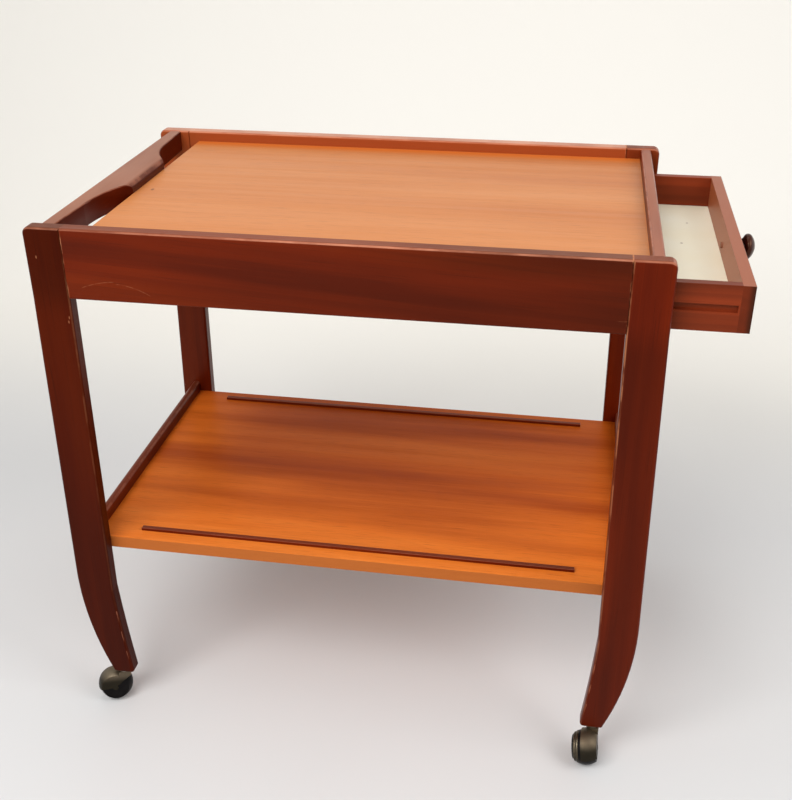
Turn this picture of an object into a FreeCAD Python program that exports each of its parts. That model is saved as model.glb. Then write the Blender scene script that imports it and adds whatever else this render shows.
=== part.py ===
"""Tea trolley in dark hardwood: two sabre-legged side frames, a galleried top with a finger-hole
handle board, an end drawer on wooden runners, a lower shelf and four hooded ball casters.

Millimetres, +Z up, X along the trolley with the drawer at +X, floor at Z = 0.
The drawer stands open by drawer_open in the rest position.
"""

import FreeCAD, Part
import Sketcher

import os
import re
import sys

from FreeCAD import Placement, Rotation, Vector

# ---------------------------------------------------------------- driving sizes

SIZES = [
    # side frames
    ("frame_length", 760, "outside length over the tops of the legs"),
    ("frame_width", 480, "outside width over the two side frames"),
    ("frame_height", 740, "top of the rails above the floor"),
    ("frame_stock", 20, "thickness of the legs and long rails"),
    ("rail_depth", 89, "height of a long rail"),
    ("edge_round", 3.5, "rounding of the frame's top and outline edges"),
    ("rail_arris", 1.5, "softened lower edges of the long rails"),
    ("corner_round", 9, "rounded top outer corner of a leg"),
    # sabre leg
    ("leg_width", 48, "width of a leg beside the rail"),
    ("leg_bow", 8, "how far a leg leans outwards at its bend"),
    ("bend_height", 240, "height of the outer bend above the floor"),
    ("knee_width", 42.5, "inner edge at the knee, from the frame's end"),
    ("knee_height", 205, "height of the inner knee above the floor"),
    ("foot_inset", 25, "outer edge of the foot, from the frame's end"),
    ("foot_width", 31, "width of the foot"),
    ("foot_height", 55, "underside of the foot above the floor"),
    ("outer_sweep", 465, "radius of the leg's outer sweep"),
    ("inner_sweep", 2600, "radius of the leg's inner sweep"),
    ("toe_round", 2.5, "rounding of the foot's outer corner"),
    ("heel_round", 5, "rounding of the foot's inner corner"),
    # galleried top
    ("tray_depth", 15, "top panel below the top of the rails"),
    ("panel_thick", 16, "thickness of the top panel"),
    ("fit_gap", 0.2, "gap round a panel or board let in between others"),
    ("handle_inset", 17, "handle board's outer edge, from the frame's end"),
    ("handle_width", 46, "width of the handle board at its middle"),
    ("handle_thick", 30, "thickness of the handle board"),
    ("handle_drop", 1, "handle board below the top of the rails"),
    ("handle_arm", 17, "width of the board where a finger hole meets the long rail"),
    ("scoop_lean", 3, "how much wider the board is where a scoop begins to curve"),
    ("scoop_start", 75, "straight part of a scoop, from the long rail"),
    ("front_scoop", 95, "length of the curved part of the front scoop"),
    ("back_scoop", 77, "length of the curved part of the back scoop"),
    ("front_sweep", 170, "radius of the curved part of the front scoop"),
    ("back_sweep", 127, "radius of the curved part of the back scoop"),
    ("handle_round", 2, "rounding of the handle board's upper edges"),
    ("middle_round", 9, "rounding of the handle board's edge beside the top panel"),
    ("handle_under", 2, "rounding of the handle board's lower edges"),
    ("cross_inset", 12.5, "cross rail's outer face, from the frame's end"),
    ("cross_thick", 14.5, "thickness of the cross rail"),
    ("cross_depth", 31, "height of the cross rail"),
    ("cross_round", 3.5, "rounding of the cross rail's upper edges"),
    # battens and runners inside the long rails
    ("batten_thick", 7, "thickness of a batten under the top panel"),
    ("batten_depth", 22, "height of a batten"),
    ("batten_setback", 12, "end of a batten, from the end of the top panel"),
    ("panel_bite", 10, "how far a panel screw enters the top panel"),
    ("runner_length", 360, "length of a drawer runner"),
    ("runner_height", 8.4, "height of a drawer runner"),
    ("runner_bite", 12, "how far a runner screw enters the long rail"),
    ("slide_gap", 0.3, "running clearance of the drawer on its runners"),
    # drawer
    ("drawer_open", 102, "how far the drawer stands open"),
    ("drawer_clearance", 1, "gap between the drawer and a batten"),
    ("drawer_length", 380, "outside length of the drawer"),
    ("drawer_depth", 57, "height of the drawer"),
    ("drawer_drop", 33.5, "top of the drawer below the top of the rails"),
    ("front_thick", 14.5, "thickness of the drawer front"),
    ("side_thick", 12, "thickness of the drawer sides and back"),
    ("bottom_thick", 4, "thickness of the drawer bottom"),
    ("bottom_rise", 11, "underside of the drawer bottom above the drawer's lower edge"),
    ("bottom_tongue", 4, "how far the drawer bottom enters its grooves"),
    ("groove_rise", 24, "lower edge of the runner groove above the drawer's lower edge"),
    ("groove_depth", 5, "depth of the runner groove"),
    ("groove_stop", 16.5, "closed end of the runner groove, from the front's face"),
    ("drawer_arris", 0.8, "softened edges of the drawer boards"),
    ("back_drop", 3, "drawer back below the sides' upper edges"),
    ("knob_radius", 17.5, "largest radius of the drawer knob"),
    ("knob_neck", 8, "radius of the knob's neck at the drawer front"),
    ("knob_reach", 26, "how far the knob stands out"),
    ("knob_swell", 12, "back of the knob's head, from the drawer front"),
    ("knob_back", 13.5, "radius of the knob's head at its back"),
    ("knob_widest", 17.5, "widest ring of the knob, from the drawer front"),
    ("knob_cove", 10, "radius of the hollow behind the knob's head"),
    ("knob_turn", 8, "radius of the curve from the back of the knob's head to its widest ring"),
    ("knob_crown_round", 5, "rounding between the knob's edge and its face"),
    ("knob_drop", 29, "knob's centre below the drawer's upper edge"),
    ("knob_screw_radius", 2, "radius of the knob screw"),
    ("knob_screw_bite", 11, "how far the knob screw enters the knob"),
    # lower shelf
    ("shelf_drop", 454, "top of the shelf below the top of the rails"),
    ("shelf_thick", 18, "thickness of the shelf"),
    ("shelf_inset", 24, "end of the shelf, from the frame's end"),
    ("shelf_arris", 1, "softened edges of the shelf"),
    ("end_rail_thick", 12, "thickness of a shelf end rail"),
    ("end_rail_rise", 18, "end rail above the top of the shelf"),
    ("end_rail_depth", 42, "height of a shelf end rail"),
    ("strip_length", 600, "length of a gallery strip"),
    ("strip_width", 7, "width of a gallery strip"),
    ("strip_height", 4.5, "height of a gallery strip"),
    ("strip_inset", 20, "gallery strip from the long edge of the shelf"),
    # dowels and screws
    ("dowel_radius", 4, "radius of a dowel"),
    ("dowel_bite", 14, "how far a dowel enters each piece"),
    ("pin_radius", 3, "radius of a small dowel in the shelf and drawer"),
    ("pin_bite", 8, "how far a small dowel enters each piece"),
    ("dowel_gap", 0.1, "gap round a dowel or screw in its hole"),
    ("screw_radius", 1.5, "radius of a wood screw"),
    ("screw_head", 3, "radius of a wood screw's head"),
    ("screw_length", 16, "length of a wood screw"),
    # casters
    ("wheel_radius", 24, "radius of a caster's ball wheel"),
    ("wheel_inner", 14.5, "ball wheel's flank beside the hood's plate, from its middle"),
    ("wheel_outer", 18, "ball wheel's flank on the rim side, from its middle"),
    ("rim_start", 8.5, "inner side of the rim ring, from the wheel's middle"),
    ("rim_width", 7.5, "width of the rim ring"),
    ("rim_seat", 16.5, "radius of the wheel where the rim ring sits"),
    ("rim_low", 17.8, "outer radius of the rim ring on its outer side"),
    ("rim_high", 21.8, "outer radius of the rim ring beside the ball"),
    ("bead_radius", 2.4, "radius of the two beads on the rim ring"),
    ("stem_shift", 3.5, "swivel axis outwards from the middle of the foot"),
    ("caster_trail", 16, "wheel's middle behind the swivel axis"),
    ("wheel_offset", 6, "wheel's middle beside the swivel axis, away from the hood's plate"),
    ("axle_tilt", 9, "slope of the axle, higher at the hood's plate, degrees"),
    ("hood_gap", 0.5, "gap between the wheel and its hood"),
    ("hood_thick", 1.5, "thickness of the hood"),
    ("hood_skirt", 5, "hood's open side, from the wheel's middle"),
    ("hood_back", 50, "how far round the hood reaches on the swivel side, degrees"),
    ("hood_front", 95, "how far round the hood reaches on the trailing side, degrees"),
    ("axle_radius", 2.5, "radius of a wheel axle"),
    ("axle_boss", 4, "radius of the hood's lobe round the axle"),
    ("axle_hold", 1, "how far the axle is let into the hood's plate"),
    ("axle_play", 0.08, "running clearance of the wheel on its axle"),
    ("boss_radius", 8.5, "radius of the hood's swivel boss"),
    ("boss_rise", 14, "lower end of the swivel boss above the axle"),
    ("stem_hold", 8, "how far the stem is let into the hood's boss"),
    ("stem_radius", 4, "radius of the swivel stem"),
    ("stem_length", 34, "how far the stem enters its socket"),
    ("stem_play", 0.08, "running clearance of the stem in its socket"),
    ("socket_wall", 1.4, "wall of the stem socket"),
    ("flange_radius", 8.5, "radius of the socket's flange"),
    ("flange_thick", 1.2, "thickness of the socket's flange"),
    ("swivel_gap", 0.3, "gap between the flange and the hood's boss"),
]

DOC = FreeCAD.newDocument("tea_trolley")
SHEET = DOC.addObject("Spreadsheet::Sheet", "Sizes")
for row, (alias, number, meaning) in enumerate(SIZES, start=1):
    SHEET.set(f"A{row}", meaning)
    SHEET.set(f"B{row}", str(number))
    SHEET.setAlias(f"B{row}", alias)
DOC.recompute()

# ---------------------------------------------------------------- derived places, as formulas

OPEN_REACH = "(drawer_open - cross_inset + knob_reach)"
LEFT = f"(0 - (frame_length + {OPEN_REACH} - leg_bow) / 2)"
RIGHT = f"({LEFT} + frame_length)"
FRONT = "(0 - frame_width / 2)"
RAIL_BASE = "(frame_height - rail_depth)"
DECK = "(frame_height - tray_depth)"
DECK_UNDER = f"({DECK} - panel_thick)"
BAY_WIDTH = "(frame_width - 2 * frame_stock)"
DRAWER_WIDTH = f"({BAY_WIDTH} - 2 * (batten_thick + drawer_clearance))"
RUNNER_DEPTH = "(batten_thick + drawer_clearance + groove_depth - slide_gap)"
DRAWER_TOP = "(frame_height - drawer_drop)"
DRAWER_BASE = f"({DRAWER_TOP} - drawer_depth)"
DRAWER_FACE = f"({RIGHT} - cross_inset + drawer_open)"
DRAWER_BACK = f"({DRAWER_FACE} - drawer_length)"
SHELF_TOP = "(frame_height - shelf_drop)"
SHELF_BASE = f"({SHELF_TOP} - shelf_thick)"
STEM_INSET = "(foot_inset + foot_width / 2 - stem_shift)"
HOOD_RADIUS = "(wheel_radius + hood_gap + hood_thick)"
PLATE_FACE = "(wheel_inner + hood_gap + hood_thick)"

ALONG_X = Rotation(Vector(0, 1, 0), 90)
ALONG_Y = Rotation(Vector(1, 0, 0), -90)
ALONG_Z = Rotation()
DOWNWARDS = Rotation(Vector(1, 0, 0), 180)
BACK_ALONG_X = Rotation(Vector(0, 1, 0), -90)
BACK_ALONG_Y = Rotation(Vector(1, 0, 0), 90)
TOUCH = 1e-4

PARTS = []


def formula(text):
    """Turn plain size names into references to the sheet's cells."""
    return re.sub(r"\b[a-z]\w*\b(?!\()", lambda word: "Sizes." + word.group(0), str(text))


def value(text):
    """The number that a formula gives now."""
    return float(SHEET.evalExpression(re.sub(r"Sizes\.", "", formula(text))))


def bind(thing, **properties):
    for name, text in properties.items():
        thing.setExpression(name, formula(text))


def place(thing, x, y, z, turn=ALONG_Z):
    thing.Placement = Placement(Vector(), turn)
    for axis, text in zip("xyz", (x, y, z)):
        thing.setExpression(f"Placement.Base.{axis}", formula(text))


# ---------------------------------------------------------------- PartDesign helpers

def new_body(label):
    body = DOC.addObject("PartDesign::Body", label)
    body.Label = label
    PARTS.append(body)
    return body


def origin_plane(body, role):
    return next(item for item in body.Origin.OriginFeatures if item.Role == role)


def outline(body, role, name, corners, shift=("0", "0", "0"), slope="0"):
    """Closed sketch through corners, each (x, y) or (x, y, radius, turn), turned by slope degrees.

    A radius makes the edge that arrives at that corner an arc; turn is +1 where the arc's centre lies
    to the left of the way to the corner and -1 where it lies to the right.
    """
    sketch = body.newObject("Sketcher::SketchObject", name)
    sketch.AttachmentSupport = [(origin_plane(body, role), "")]
    sketch.MapMode = "FlatFace"
    sketch.AttachmentOffset = Placement(Vector(), Rotation(Z_AXIS, value(slope)))
    for axis, text in zip("xyz", shift):
        sketch.setExpression(f"AttachmentOffset.Base.{axis}", formula(text))
    spots = [Vector(value(corner[0]), value(corner[1]), 0) for corner in corners]
    starts = []
    ends = []
    for index, corner in enumerate(corners):
        here, there = spots[index - 1], spots[index]
        if len(corner) == 2:
            edge = sketch.addGeometry(Part.LineSegment(here, there), False)
            starts.append((edge, 1))
            ends.append((edge, 2))
            continue
        radius, turn = corner[2], corner[3]
        way = there - here
        rise = (value(radius) ** 2 - (way.Length / 2) ** 2) ** 0.5
        centre = (here + there) / 2 + Vector(-way.y, way.x, 0).normalize() * rise * turn
        circle = Part.Circle(centre, Vector(0, 0, 1), value(radius))
        first, last = (here, there) if turn > 0 else (there, here)
        arc = Part.ArcOfCircle(circle, circle.parameter(first), circle.parameter(last))
        edge = sketch.addGeometry(arc, False)
        starts.append((edge, 1 if turn > 0 else 2))
        ends.append((edge, 2 if turn > 0 else 1))
    for index, corner in enumerate(corners):
        following = (index + 1) % len(corners)
        sketch.addConstraint(Sketcher.Constraint("Coincident", *ends[index], *starts[following]))
        for axis, text, spot in (("X", corner[0], spots[index].x), ("Y", corner[1], spots[index].y)):
            if str(text) == "0":
                axis_line = -2 if axis == "X" else -1
                sketch.addConstraint(Sketcher.Constraint("PointOnObject", *ends[index], axis_line))
                continue
            rule = Sketcher.Constraint("Distance" + axis, -1, 1, *ends[index], spot)
            number = sketch.addConstraint(rule)
            sketch.setExpression(f"Constraints[{number}]", formula(text))
        if len(corner) > 2:
            number = sketch.addConstraint(Sketcher.Constraint("Radius", ends[index][0], value(corner[2])))
            sketch.setExpression(f"Constraints[{number}]", formula(corner[2]))
    return sketch


def pad(body, sketch, length, midplane=False, name="Pad"):
    feature = body.newObject("PartDesign::Pad", name)
    feature.Profile = sketch
    feature.Midplane = midplane
    bind(feature, Length=length)
    DOC.recompute()
    return feature


def revolve(body, sketch, name="Turned"):
    """A full turn about the sketch's horizontal axis."""
    feature = body.newObject("PartDesign::Revolution", name)
    feature.Profile = sketch
    feature.ReferenceAxis = (sketch, ["H_Axis"])
    feature.Angle = 360
    DOC.recompute()
    return feature


def soften(body, name, radius, chosen):
    """Round the edges of the body's last feature that chosen() picks."""
    DOC.recompute()
    base = body.Tip
    names = [f"Edge{number}" for number, edge in enumerate(base.Shape.Edges, start=1) if chosen(edge)]
    feature = body.newObject("PartDesign::Fillet", name)
    feature.Base = (base, names)
    bind(feature, Radius=radius)
    DOC.recompute()
    return feature


def cut_box(body, name, size, corner, turn=ALONG_Z):
    feature = body.newObject("PartDesign::SubtractiveBox", name)
    bind(feature, Length=size[0], Width=size[1], Height=size[2])
    place(feature, *corner, turn)
    DOC.recompute()


def bore(body, name, radius, depth, start, turn):
    """A blind hole whose mouth is at start and whose depth runs along the turned Z axis."""
    feature = body.newObject("PartDesign::SubtractiveCylinder", name)
    bind(feature, Radius=radius, Height=depth)
    place(feature, *start, turn)
    DOC.recompute()


def board(label, size, corner):
    """A rectangular board: size along X, Y, Z and its lowest corner in the trolley's frame."""
    body = new_body(label)
    long_side, wide_side, tall_side = size
    sketch = outline(body, "XY_Plane", label + "_outline",
                     [("0", "0"), (long_side, "0"), (long_side, wide_side), ("0", wide_side)])
    pad(body, sketch, tall_side)
    place(body, *corner)
    return body


def straight(edge):
    return not edge.Degenerated and edge.Curve.TypeId == "Part::GeomLine"


def circular(edge):
    return not edge.Degenerated and edge.Curve.TypeId == "Part::GeomCircle"


def runs_along(edge, axis):
    if not straight(edge):
        return False
    way = edge.Vertexes[1].Point - edge.Vertexes[0].Point
    return abs(abs(way.normalize().dot(axis)) - 1) < TOUCH


def at_height(edge, text):
    return abs(edge.CenterOfMass.z - value(text)) < TOUCH * 10


X_AXIS, Y_AXIS, Z_AXIS = Vector(1, 0, 0), Vector(0, 1, 0), Vector(0, 0, 1)

# ---------------------------------------------------------------- groups of dowels and screws


def group(label, members):
    compound = DOC.addObject("Part::Compound", label)
    compound.Label = label
    compound.Links = members
    PARTS.append(compound)
    return compound


def dowel(name, start, turn, radius="dowel_radius", bite="dowel_bite"):
    """A dowel whose middle lies at start, where its two pieces meet."""
    pin = DOC.addObject("Part::Cylinder", name)
    bind(pin, Radius=radius, Height=f"2 * {bite}")
    along = turn.multVec(Z_AXIS)
    moved = [f"({text}) - ({round(part)}) * {bite}" for text, part in zip(start, along)]
    place(pin, *moved, turn)
    return pin


def dowel_hole(body, name, start, turn):
    bore(body, name, "dowel_radius + dowel_gap", "dowel_bite + dowel_gap", start, turn)


def wood_screw(name, start, turn, length="screw_length", radius="screw_radius", head="screw_head"):
    """A countersunk screw whose head is flush at start."""
    shank = DOC.addObject("Part::Cylinder", name + "_shank")
    bind(shank, Radius=radius, Height=length)
    place(shank, *start, turn)
    cone = DOC.addObject("Part::Cone", name + "_head")
    bind(cone, Radius1=head, Radius2=radius, Height=f"{head} - {radius}")
    place(cone, *start, turn)
    screw = DOC.addObject("Part::Fuse", name)
    screw.Base = shank
    screw.Tool = cone
    return screw


def screw_hole(body, name, start, turn, length="screw_length", radius="screw_radius"):
    bore(body, name, f"{radius} + dowel_gap", f"{length} + dowel_gap", start, turn)


def countersink(body, name, start, turn, head="screw_head", radius="screw_radius"):
    feature = body.newObject("PartDesign::SubtractiveCone", name)
    bind(feature, Radius1=f"{head} + dowel_gap", Radius2=f"{radius} + dowel_gap",
         Height=f"{head} - {radius}")
    place(feature, *start, turn)
    DOC.recompute()


# ---------------------------------------------------------------- side frames

SIDES = {
    "front": ("(frame_stock / 2 - frame_width / 2)", 1),
    "back": ("(frame_width / 2 - frame_stock / 2)", -1),
}
ENDS = {
    "left": (LEFT, 1),
    "right": (RIGHT, -1),
}


def leg(label, end, side):
    """A sabre leg, drawn for the left end; a half turn about Z makes it a right one."""
    end_place, inwards = ENDS[end]
    body = new_body(label)
    corners = [
        ("leg_bow", "frame_height"),
        ("leg_bow + leg_width", "frame_height"),
        ("leg_bow + leg_width", RAIL_BASE),
        ("leg_bow + knee_width", "knee_height"),
        ("leg_bow + foot_inset + foot_width", "foot_height", "inner_sweep", 1),
        ("leg_bow + foot_inset", "foot_height"),
        ("0", "bend_height", "outer_sweep", -1),
        ("leg_bow", RAIL_BASE),
    ]
    sketch = outline(body, "XZ_Plane", label + "_outline", corners)
    pad(body, sketch, "frame_stock", midplane=True)

    def top_outer(edge):
        return (runs_along(edge, Y_AXIS) and at_height(edge, "frame_height")
                and abs(edge.CenterOfMass.x - value("leg_bow")) < TOUCH * 10)

    def foot_corner(edge, inset):
        return (runs_along(edge, Y_AXIS) and at_height(edge, "foot_height")
                and abs(edge.CenterOfMass.x - value(f"leg_bow + {inset}")) < TOUCH * 10)

    def outline_edge(edge):
        half = value("frame_stock") / 2
        flat = all(abs(abs(spot.Point.y) - half) < TOUCH for spot in edge.Vertexes)
        same = abs(edge.CenterOfMass.y) > half - TOUCH
        beside_rail = (runs_along(edge, Z_AXIS)
                       and abs(edge.CenterOfMass.x - value("leg_bow + leg_width")) < TOUCH * 10)
        return flat and same and not beside_rail

    soften(body, "Corner", "corner_round", top_outer)
    soften(body, "Toe", "toe_round", lambda edge: foot_corner(edge, "foot_inset"))
    soften(body, "Heel", "heel_round", lambda edge: foot_corner(edge, "foot_inset + foot_width"))
    soften(body, "Edges", "edge_round", outline_edge)

    joint = "leg_bow + leg_width"
    for row, height in enumerate(RAIL_DOWELS):
        dowel_hole(body, f"dowel_hole_{row}", (joint, "0", height), BACK_ALONG_X)
    shelf_rail = "leg_bow + shelf_inset - end_rail_thick / 2"
    inner_face = "frame_stock / 2" if SIDES[side][1] * inwards > 0 else "0 - frame_stock / 2"
    into_leg = BACK_ALONG_Y if SIDES[side][1] * inwards > 0 else ALONG_Y
    for row, height in enumerate(END_RAIL_DOWELS):
        dowel_hole(body, f"end_rail_hole_{row}", (shelf_rail, inner_face, height), into_leg)
    for row, (across, height) in enumerate(BOARD_DOWELS[end]):
        inset = f"{across} - {LEFT}" if inwards > 0 else f"{RIGHT} - {across}"
        dowel_hole(body, f"board_hole_{row}", (f"leg_bow + {inset}", inner_face, height), into_leg)
    bore(body, "socket_hole", f"{SOCKET_RADIUS} + dowel_gap", "stem_length + 2 * socket_wall + dowel_gap",
         (f"leg_bow + {STEM_INSET}", "0", "foot_height"), ALONG_Z)
    turn = ALONG_Z if inwards > 0 else Rotation(Z_AXIS, 180)
    place(body, f"{end_place} - ({inwards}) * leg_bow", SIDES[side][0], "0", turn)


RAIL_DOWELS = (f"{RAIL_BASE} + rail_depth * 0.28", f"{RAIL_BASE} + rail_depth * 0.72")
END_RAIL_BASE = f"({SHELF_TOP} + end_rail_rise - end_rail_depth)"
END_RAIL_DOWELS = (f"{END_RAIL_BASE} + end_rail_depth * 0.27", f"{END_RAIL_BASE} + end_rail_depth * 0.7")
SOCKET_RADIUS = "(stem_radius + stem_play + socket_wall)"


def long_rail(label, side):
    middle, inwards = SIDES[side]
    body = board(label, ("frame_length - 2 * leg_width", "frame_stock", "rail_depth"),
                 (f"{LEFT} + leg_width", f"{middle} - frame_stock / 2", RAIL_BASE))
    soften(body, "Top_edges", "edge_round",
           lambda edge: runs_along(edge, X_AXIS) and at_height(edge, "rail_depth"))
    soften(body, "Lower_edges", "rail_arris",
           lambda edge: runs_along(edge, X_AXIS) and at_height(edge, "0"))
    rail_length = "frame_length - 2 * leg_width"
    inner_face = "frame_stock" if inwards > 0 else "0"
    outwards = BACK_ALONG_Y if inwards > 0 else ALONG_Y
    for row, height in enumerate(RAIL_DOWELS):
        level = f"{height} - {RAIL_BASE}"
        dowel_hole(body, f"left_hole_{row}", ("0", "frame_stock / 2", level), ALONG_X)
        dowel_hole(body, f"right_hole_{row}", (rail_length, "frame_stock / 2", level), BACK_ALONG_X)
    for row, across in enumerate(BATTEN_SCREWS):
        start = (f"{across} - {LEFT} - leg_width", inner_face, f"{BATTEN_MIDDLE} - {RAIL_BASE}")
        screw_hole(body, f"batten_hole_{row}", start, outwards, "screw_length - batten_thick")
    for row, along in enumerate(RUNNER_SCREWS):
        across = f"{RUNNER_LEFT} + {along} - {LEFT} - leg_width"
        start = (across, inner_face, f"{RUNNER_MIDDLE} - {RAIL_BASE}")
        screw_hole(body, f"runner_hole_{row}", start, outwards, "runner_bite")


# ---------------------------------------------------------------- galleried top

HANDLE_TOP = "(frame_height - handle_drop)"
HANDLE_BASE = f"({HANDLE_TOP} - handle_thick)"
HANDLE_OUTER = f"({LEFT} + handle_inset)"
CROSS_INNER = f"({RIGHT} - cross_inset - cross_thick)"
CROSS_BASE = f"({HANDLE_TOP} - cross_depth)"
PANEL_LEFT = f"({HANDLE_OUTER} + handle_width + fit_gap)"
PANEL_RIGHT = f"({CROSS_INNER} - fit_gap)"
BOARD_DOWELS = {
    "left": ((f"({HANDLE_OUTER} + handle_arm / 2)", f"({HANDLE_BASE} + handle_thick * 0.27)"),
             (f"({HANDLE_OUTER} + handle_arm / 2)", f"({HANDLE_BASE} + handle_thick * 0.7)")),
    "right": ((f"({CROSS_INNER} + cross_thick / 2)", f"({CROSS_BASE} + cross_depth * 0.25)"),
              (f"({CROSS_INNER} + cross_thick / 2)", f"({CROSS_BASE} + cross_depth * 0.7)")),
}
BATTEN_LEFT = f"({PANEL_LEFT} + batten_setback)"
BATTEN_LENGTH = f"({PANEL_RIGHT} - {PANEL_LEFT} - 2 * batten_setback)"
BATTEN_MIDDLE = f"({DECK_UNDER} - batten_depth / 2)"
BATTEN_SCREWS = tuple(f"({BATTEN_LEFT} + {BATTEN_LENGTH} * {share})" for share in (0.08, 0.5, 0.92))
PANEL_SCREWS = tuple(f"({BATTEN_LEFT} + {BATTEN_LENGTH} * {share})" for share in (0.14, 0.44, 0.86))


def handle_board():
    """Carrying board across the left end, cut back by a scoop beside each long rail."""
    body = new_body("handle_board")
    bend = "handle_arm + scoop_lean"
    corners = [
        ("0", "0"),
        ("handle_arm", "0"),
        (bend, "scoop_start"),
        ("handle_width", "scoop_start + front_scoop", "front_sweep", -1),
        ("handle_width", f"{BAY_WIDTH} - scoop_start - back_scoop"),
        (bend, f"{BAY_WIDTH} - scoop_start", "back_sweep", -1),
        ("handle_arm", BAY_WIDTH),
        ("0", BAY_WIDTH),
    ]
    sketch = outline(body, "XY_Plane", "handle_outline", corners)
    pad(body, sketch, "handle_thick")

    def middle_edge(edge):
        return (runs_along(edge, Y_AXIS) and at_height(edge, "handle_thick")
                and abs(edge.CenterOfMass.x - value("handle_width")) < TOUCH * 10)

    def other_top(edge):
        return (at_height(edge, "handle_thick") and not runs_along(edge, X_AXIS)
                and edge.CenterOfMass.x < value("handle_width") - value("middle_round"))

    def lower(edge):
        return at_height(edge, "0") and not runs_along(edge, X_AXIS)

    soften(body, "Middle_edge", "middle_round", middle_edge)
    soften(body, "Upper_edges", "handle_round", other_top)
    soften(body, "Lower_edges", "handle_under", lower)
    for row, (across, height) in enumerate(BOARD_DOWELS["left"]):
        spot = (f"{across} - {HANDLE_OUTER}", f"{height} - {HANDLE_BASE}")
        dowel_hole(body, f"front_hole_{row}", (spot[0], "0", spot[1]), ALONG_Y)
        dowel_hole(body, f"back_hole_{row}", (spot[0], BAY_WIDTH, spot[1]), BACK_ALONG_Y)
    place(body, HANDLE_OUTER, f"{FRONT} + frame_stock", HANDLE_BASE)


def cross_rail():
    body = board("cross_rail", ("cross_thick", BAY_WIDTH, "cross_depth"),
                 (CROSS_INNER, f"{FRONT} + frame_stock", CROSS_BASE))
    soften(body, "Top_edges", "cross_round",
           lambda edge: runs_along(edge, Y_AXIS) and at_height(edge, "cross_depth"))
    for row, (across, height) in enumerate(BOARD_DOWELS["right"]):
        spot = (f"{across} - {CROSS_INNER}", f"{height} - {CROSS_BASE}")
        dowel_hole(body, f"front_hole_{row}", (spot[0], "0", spot[1]), ALONG_Y)
        dowel_hole(body, f"back_hole_{row}", (spot[0], BAY_WIDTH, spot[1]), BACK_ALONG_Y)


def top_panel():
    body = board("top_panel",
                 (f"{PANEL_RIGHT} - {PANEL_LEFT}", f"{BAY_WIDTH} - 2 * fit_gap", "panel_thick"),
                 (PANEL_LEFT, f"{FRONT} + frame_stock + fit_gap", DECK_UNDER))
    for row, across in enumerate(PANEL_SCREWS):
        for side, wide in (("front", "batten_thick / 2 - fit_gap"),
                           ("back", f"{BAY_WIDTH} - fit_gap - batten_thick / 2")):
            screw_hole(body, f"{side}_hole_{row}", (f"{across} - {PANEL_LEFT}", wide, "0"), ALONG_Z,
                       "panel_bite")


def batten(side):
    middle, inwards = SIDES[side]
    near = f"{FRONT} + frame_stock" if inwards > 0 else f"0 - {FRONT} - frame_stock - batten_thick"
    body = board(f"batten_{side}", (BATTEN_LENGTH, "batten_thick", "batten_depth"),
                 (BATTEN_LEFT, near, f"{DECK_UNDER} - batten_depth"))
    face = "batten_thick" if inwards > 0 else "0"
    outwards = BACK_ALONG_Y if inwards > 0 else ALONG_Y
    for row, across in enumerate(BATTEN_SCREWS):
        start = (f"{across} - {BATTEN_LEFT}", face, "batten_depth / 2")
        screw_hole(body, f"rail_hole_{row}", start, outwards, "batten_thick")
        countersink(body, f"rail_sink_{row}", start, outwards)
    for row, across in enumerate(PANEL_SCREWS):
        start = (f"{across} - {BATTEN_LEFT}", "batten_thick / 2", "0")
        screw_hole(body, f"panel_hole_{row}", start, ALONG_Z, "batten_depth")
        countersink(body, f"panel_sink_{row}", start, ALONG_Z)


# ---------------------------------------------------------------- drawer and its runners

GROOVE_HEIGHT = "(runner_height + 2 * slide_gap)"
RUNNER_FRONT = f"({RIGHT} - cross_inset - groove_stop - slide_gap)"
RUNNER_BASE = f"({DRAWER_BASE} + groove_rise + slide_gap)"
RUNNER_SCREWS = ("runner_length * 0.07", "runner_length * 0.45", "runner_length * 0.83")
RUNNER_LEFT = f"({RUNNER_FRONT} - runner_length)"
RUNNER_MIDDLE = f"({RUNNER_BASE} + runner_height / 2)"
DRAWER_NEAR = f"(0 - {DRAWER_WIDTH} / 2)"
BOTTOM_GROOVE = "(bottom_thick + 2 * dowel_gap)"
SIDE_DOWELS = ("drawer_depth * 0.33", "drawer_depth * 0.78")


def runner(side):
    middle, inwards = SIDES[side]
    near = f"{FRONT} + frame_stock" if inwards > 0 else f"0 - {FRONT} - frame_stock - {RUNNER_DEPTH}"
    body = board(f"runner_{side}", ("runner_length", RUNNER_DEPTH, "runner_height"),
                 (RUNNER_LEFT, near, RUNNER_BASE))
    soften(body, "Leading_corners", "runner_height * 0.3",
           lambda edge: runs_along(edge, Z_AXIS) and abs(edge.CenterOfMass.x) > TOUCH
           and (edge.CenterOfMass.y > TOUCH) == (inwards > 0))
    face = RUNNER_DEPTH if inwards > 0 else "0"
    outwards = BACK_ALONG_Y if inwards > 0 else ALONG_Y
    for row, along in enumerate(RUNNER_SCREWS):
        start = (along, face, "runner_height / 2")
        screw_hole(body, f"screw_hole_{row}", start, outwards, RUNNER_DEPTH)
        countersink(body, f"screw_sink_{row}", start, outwards)


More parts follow.
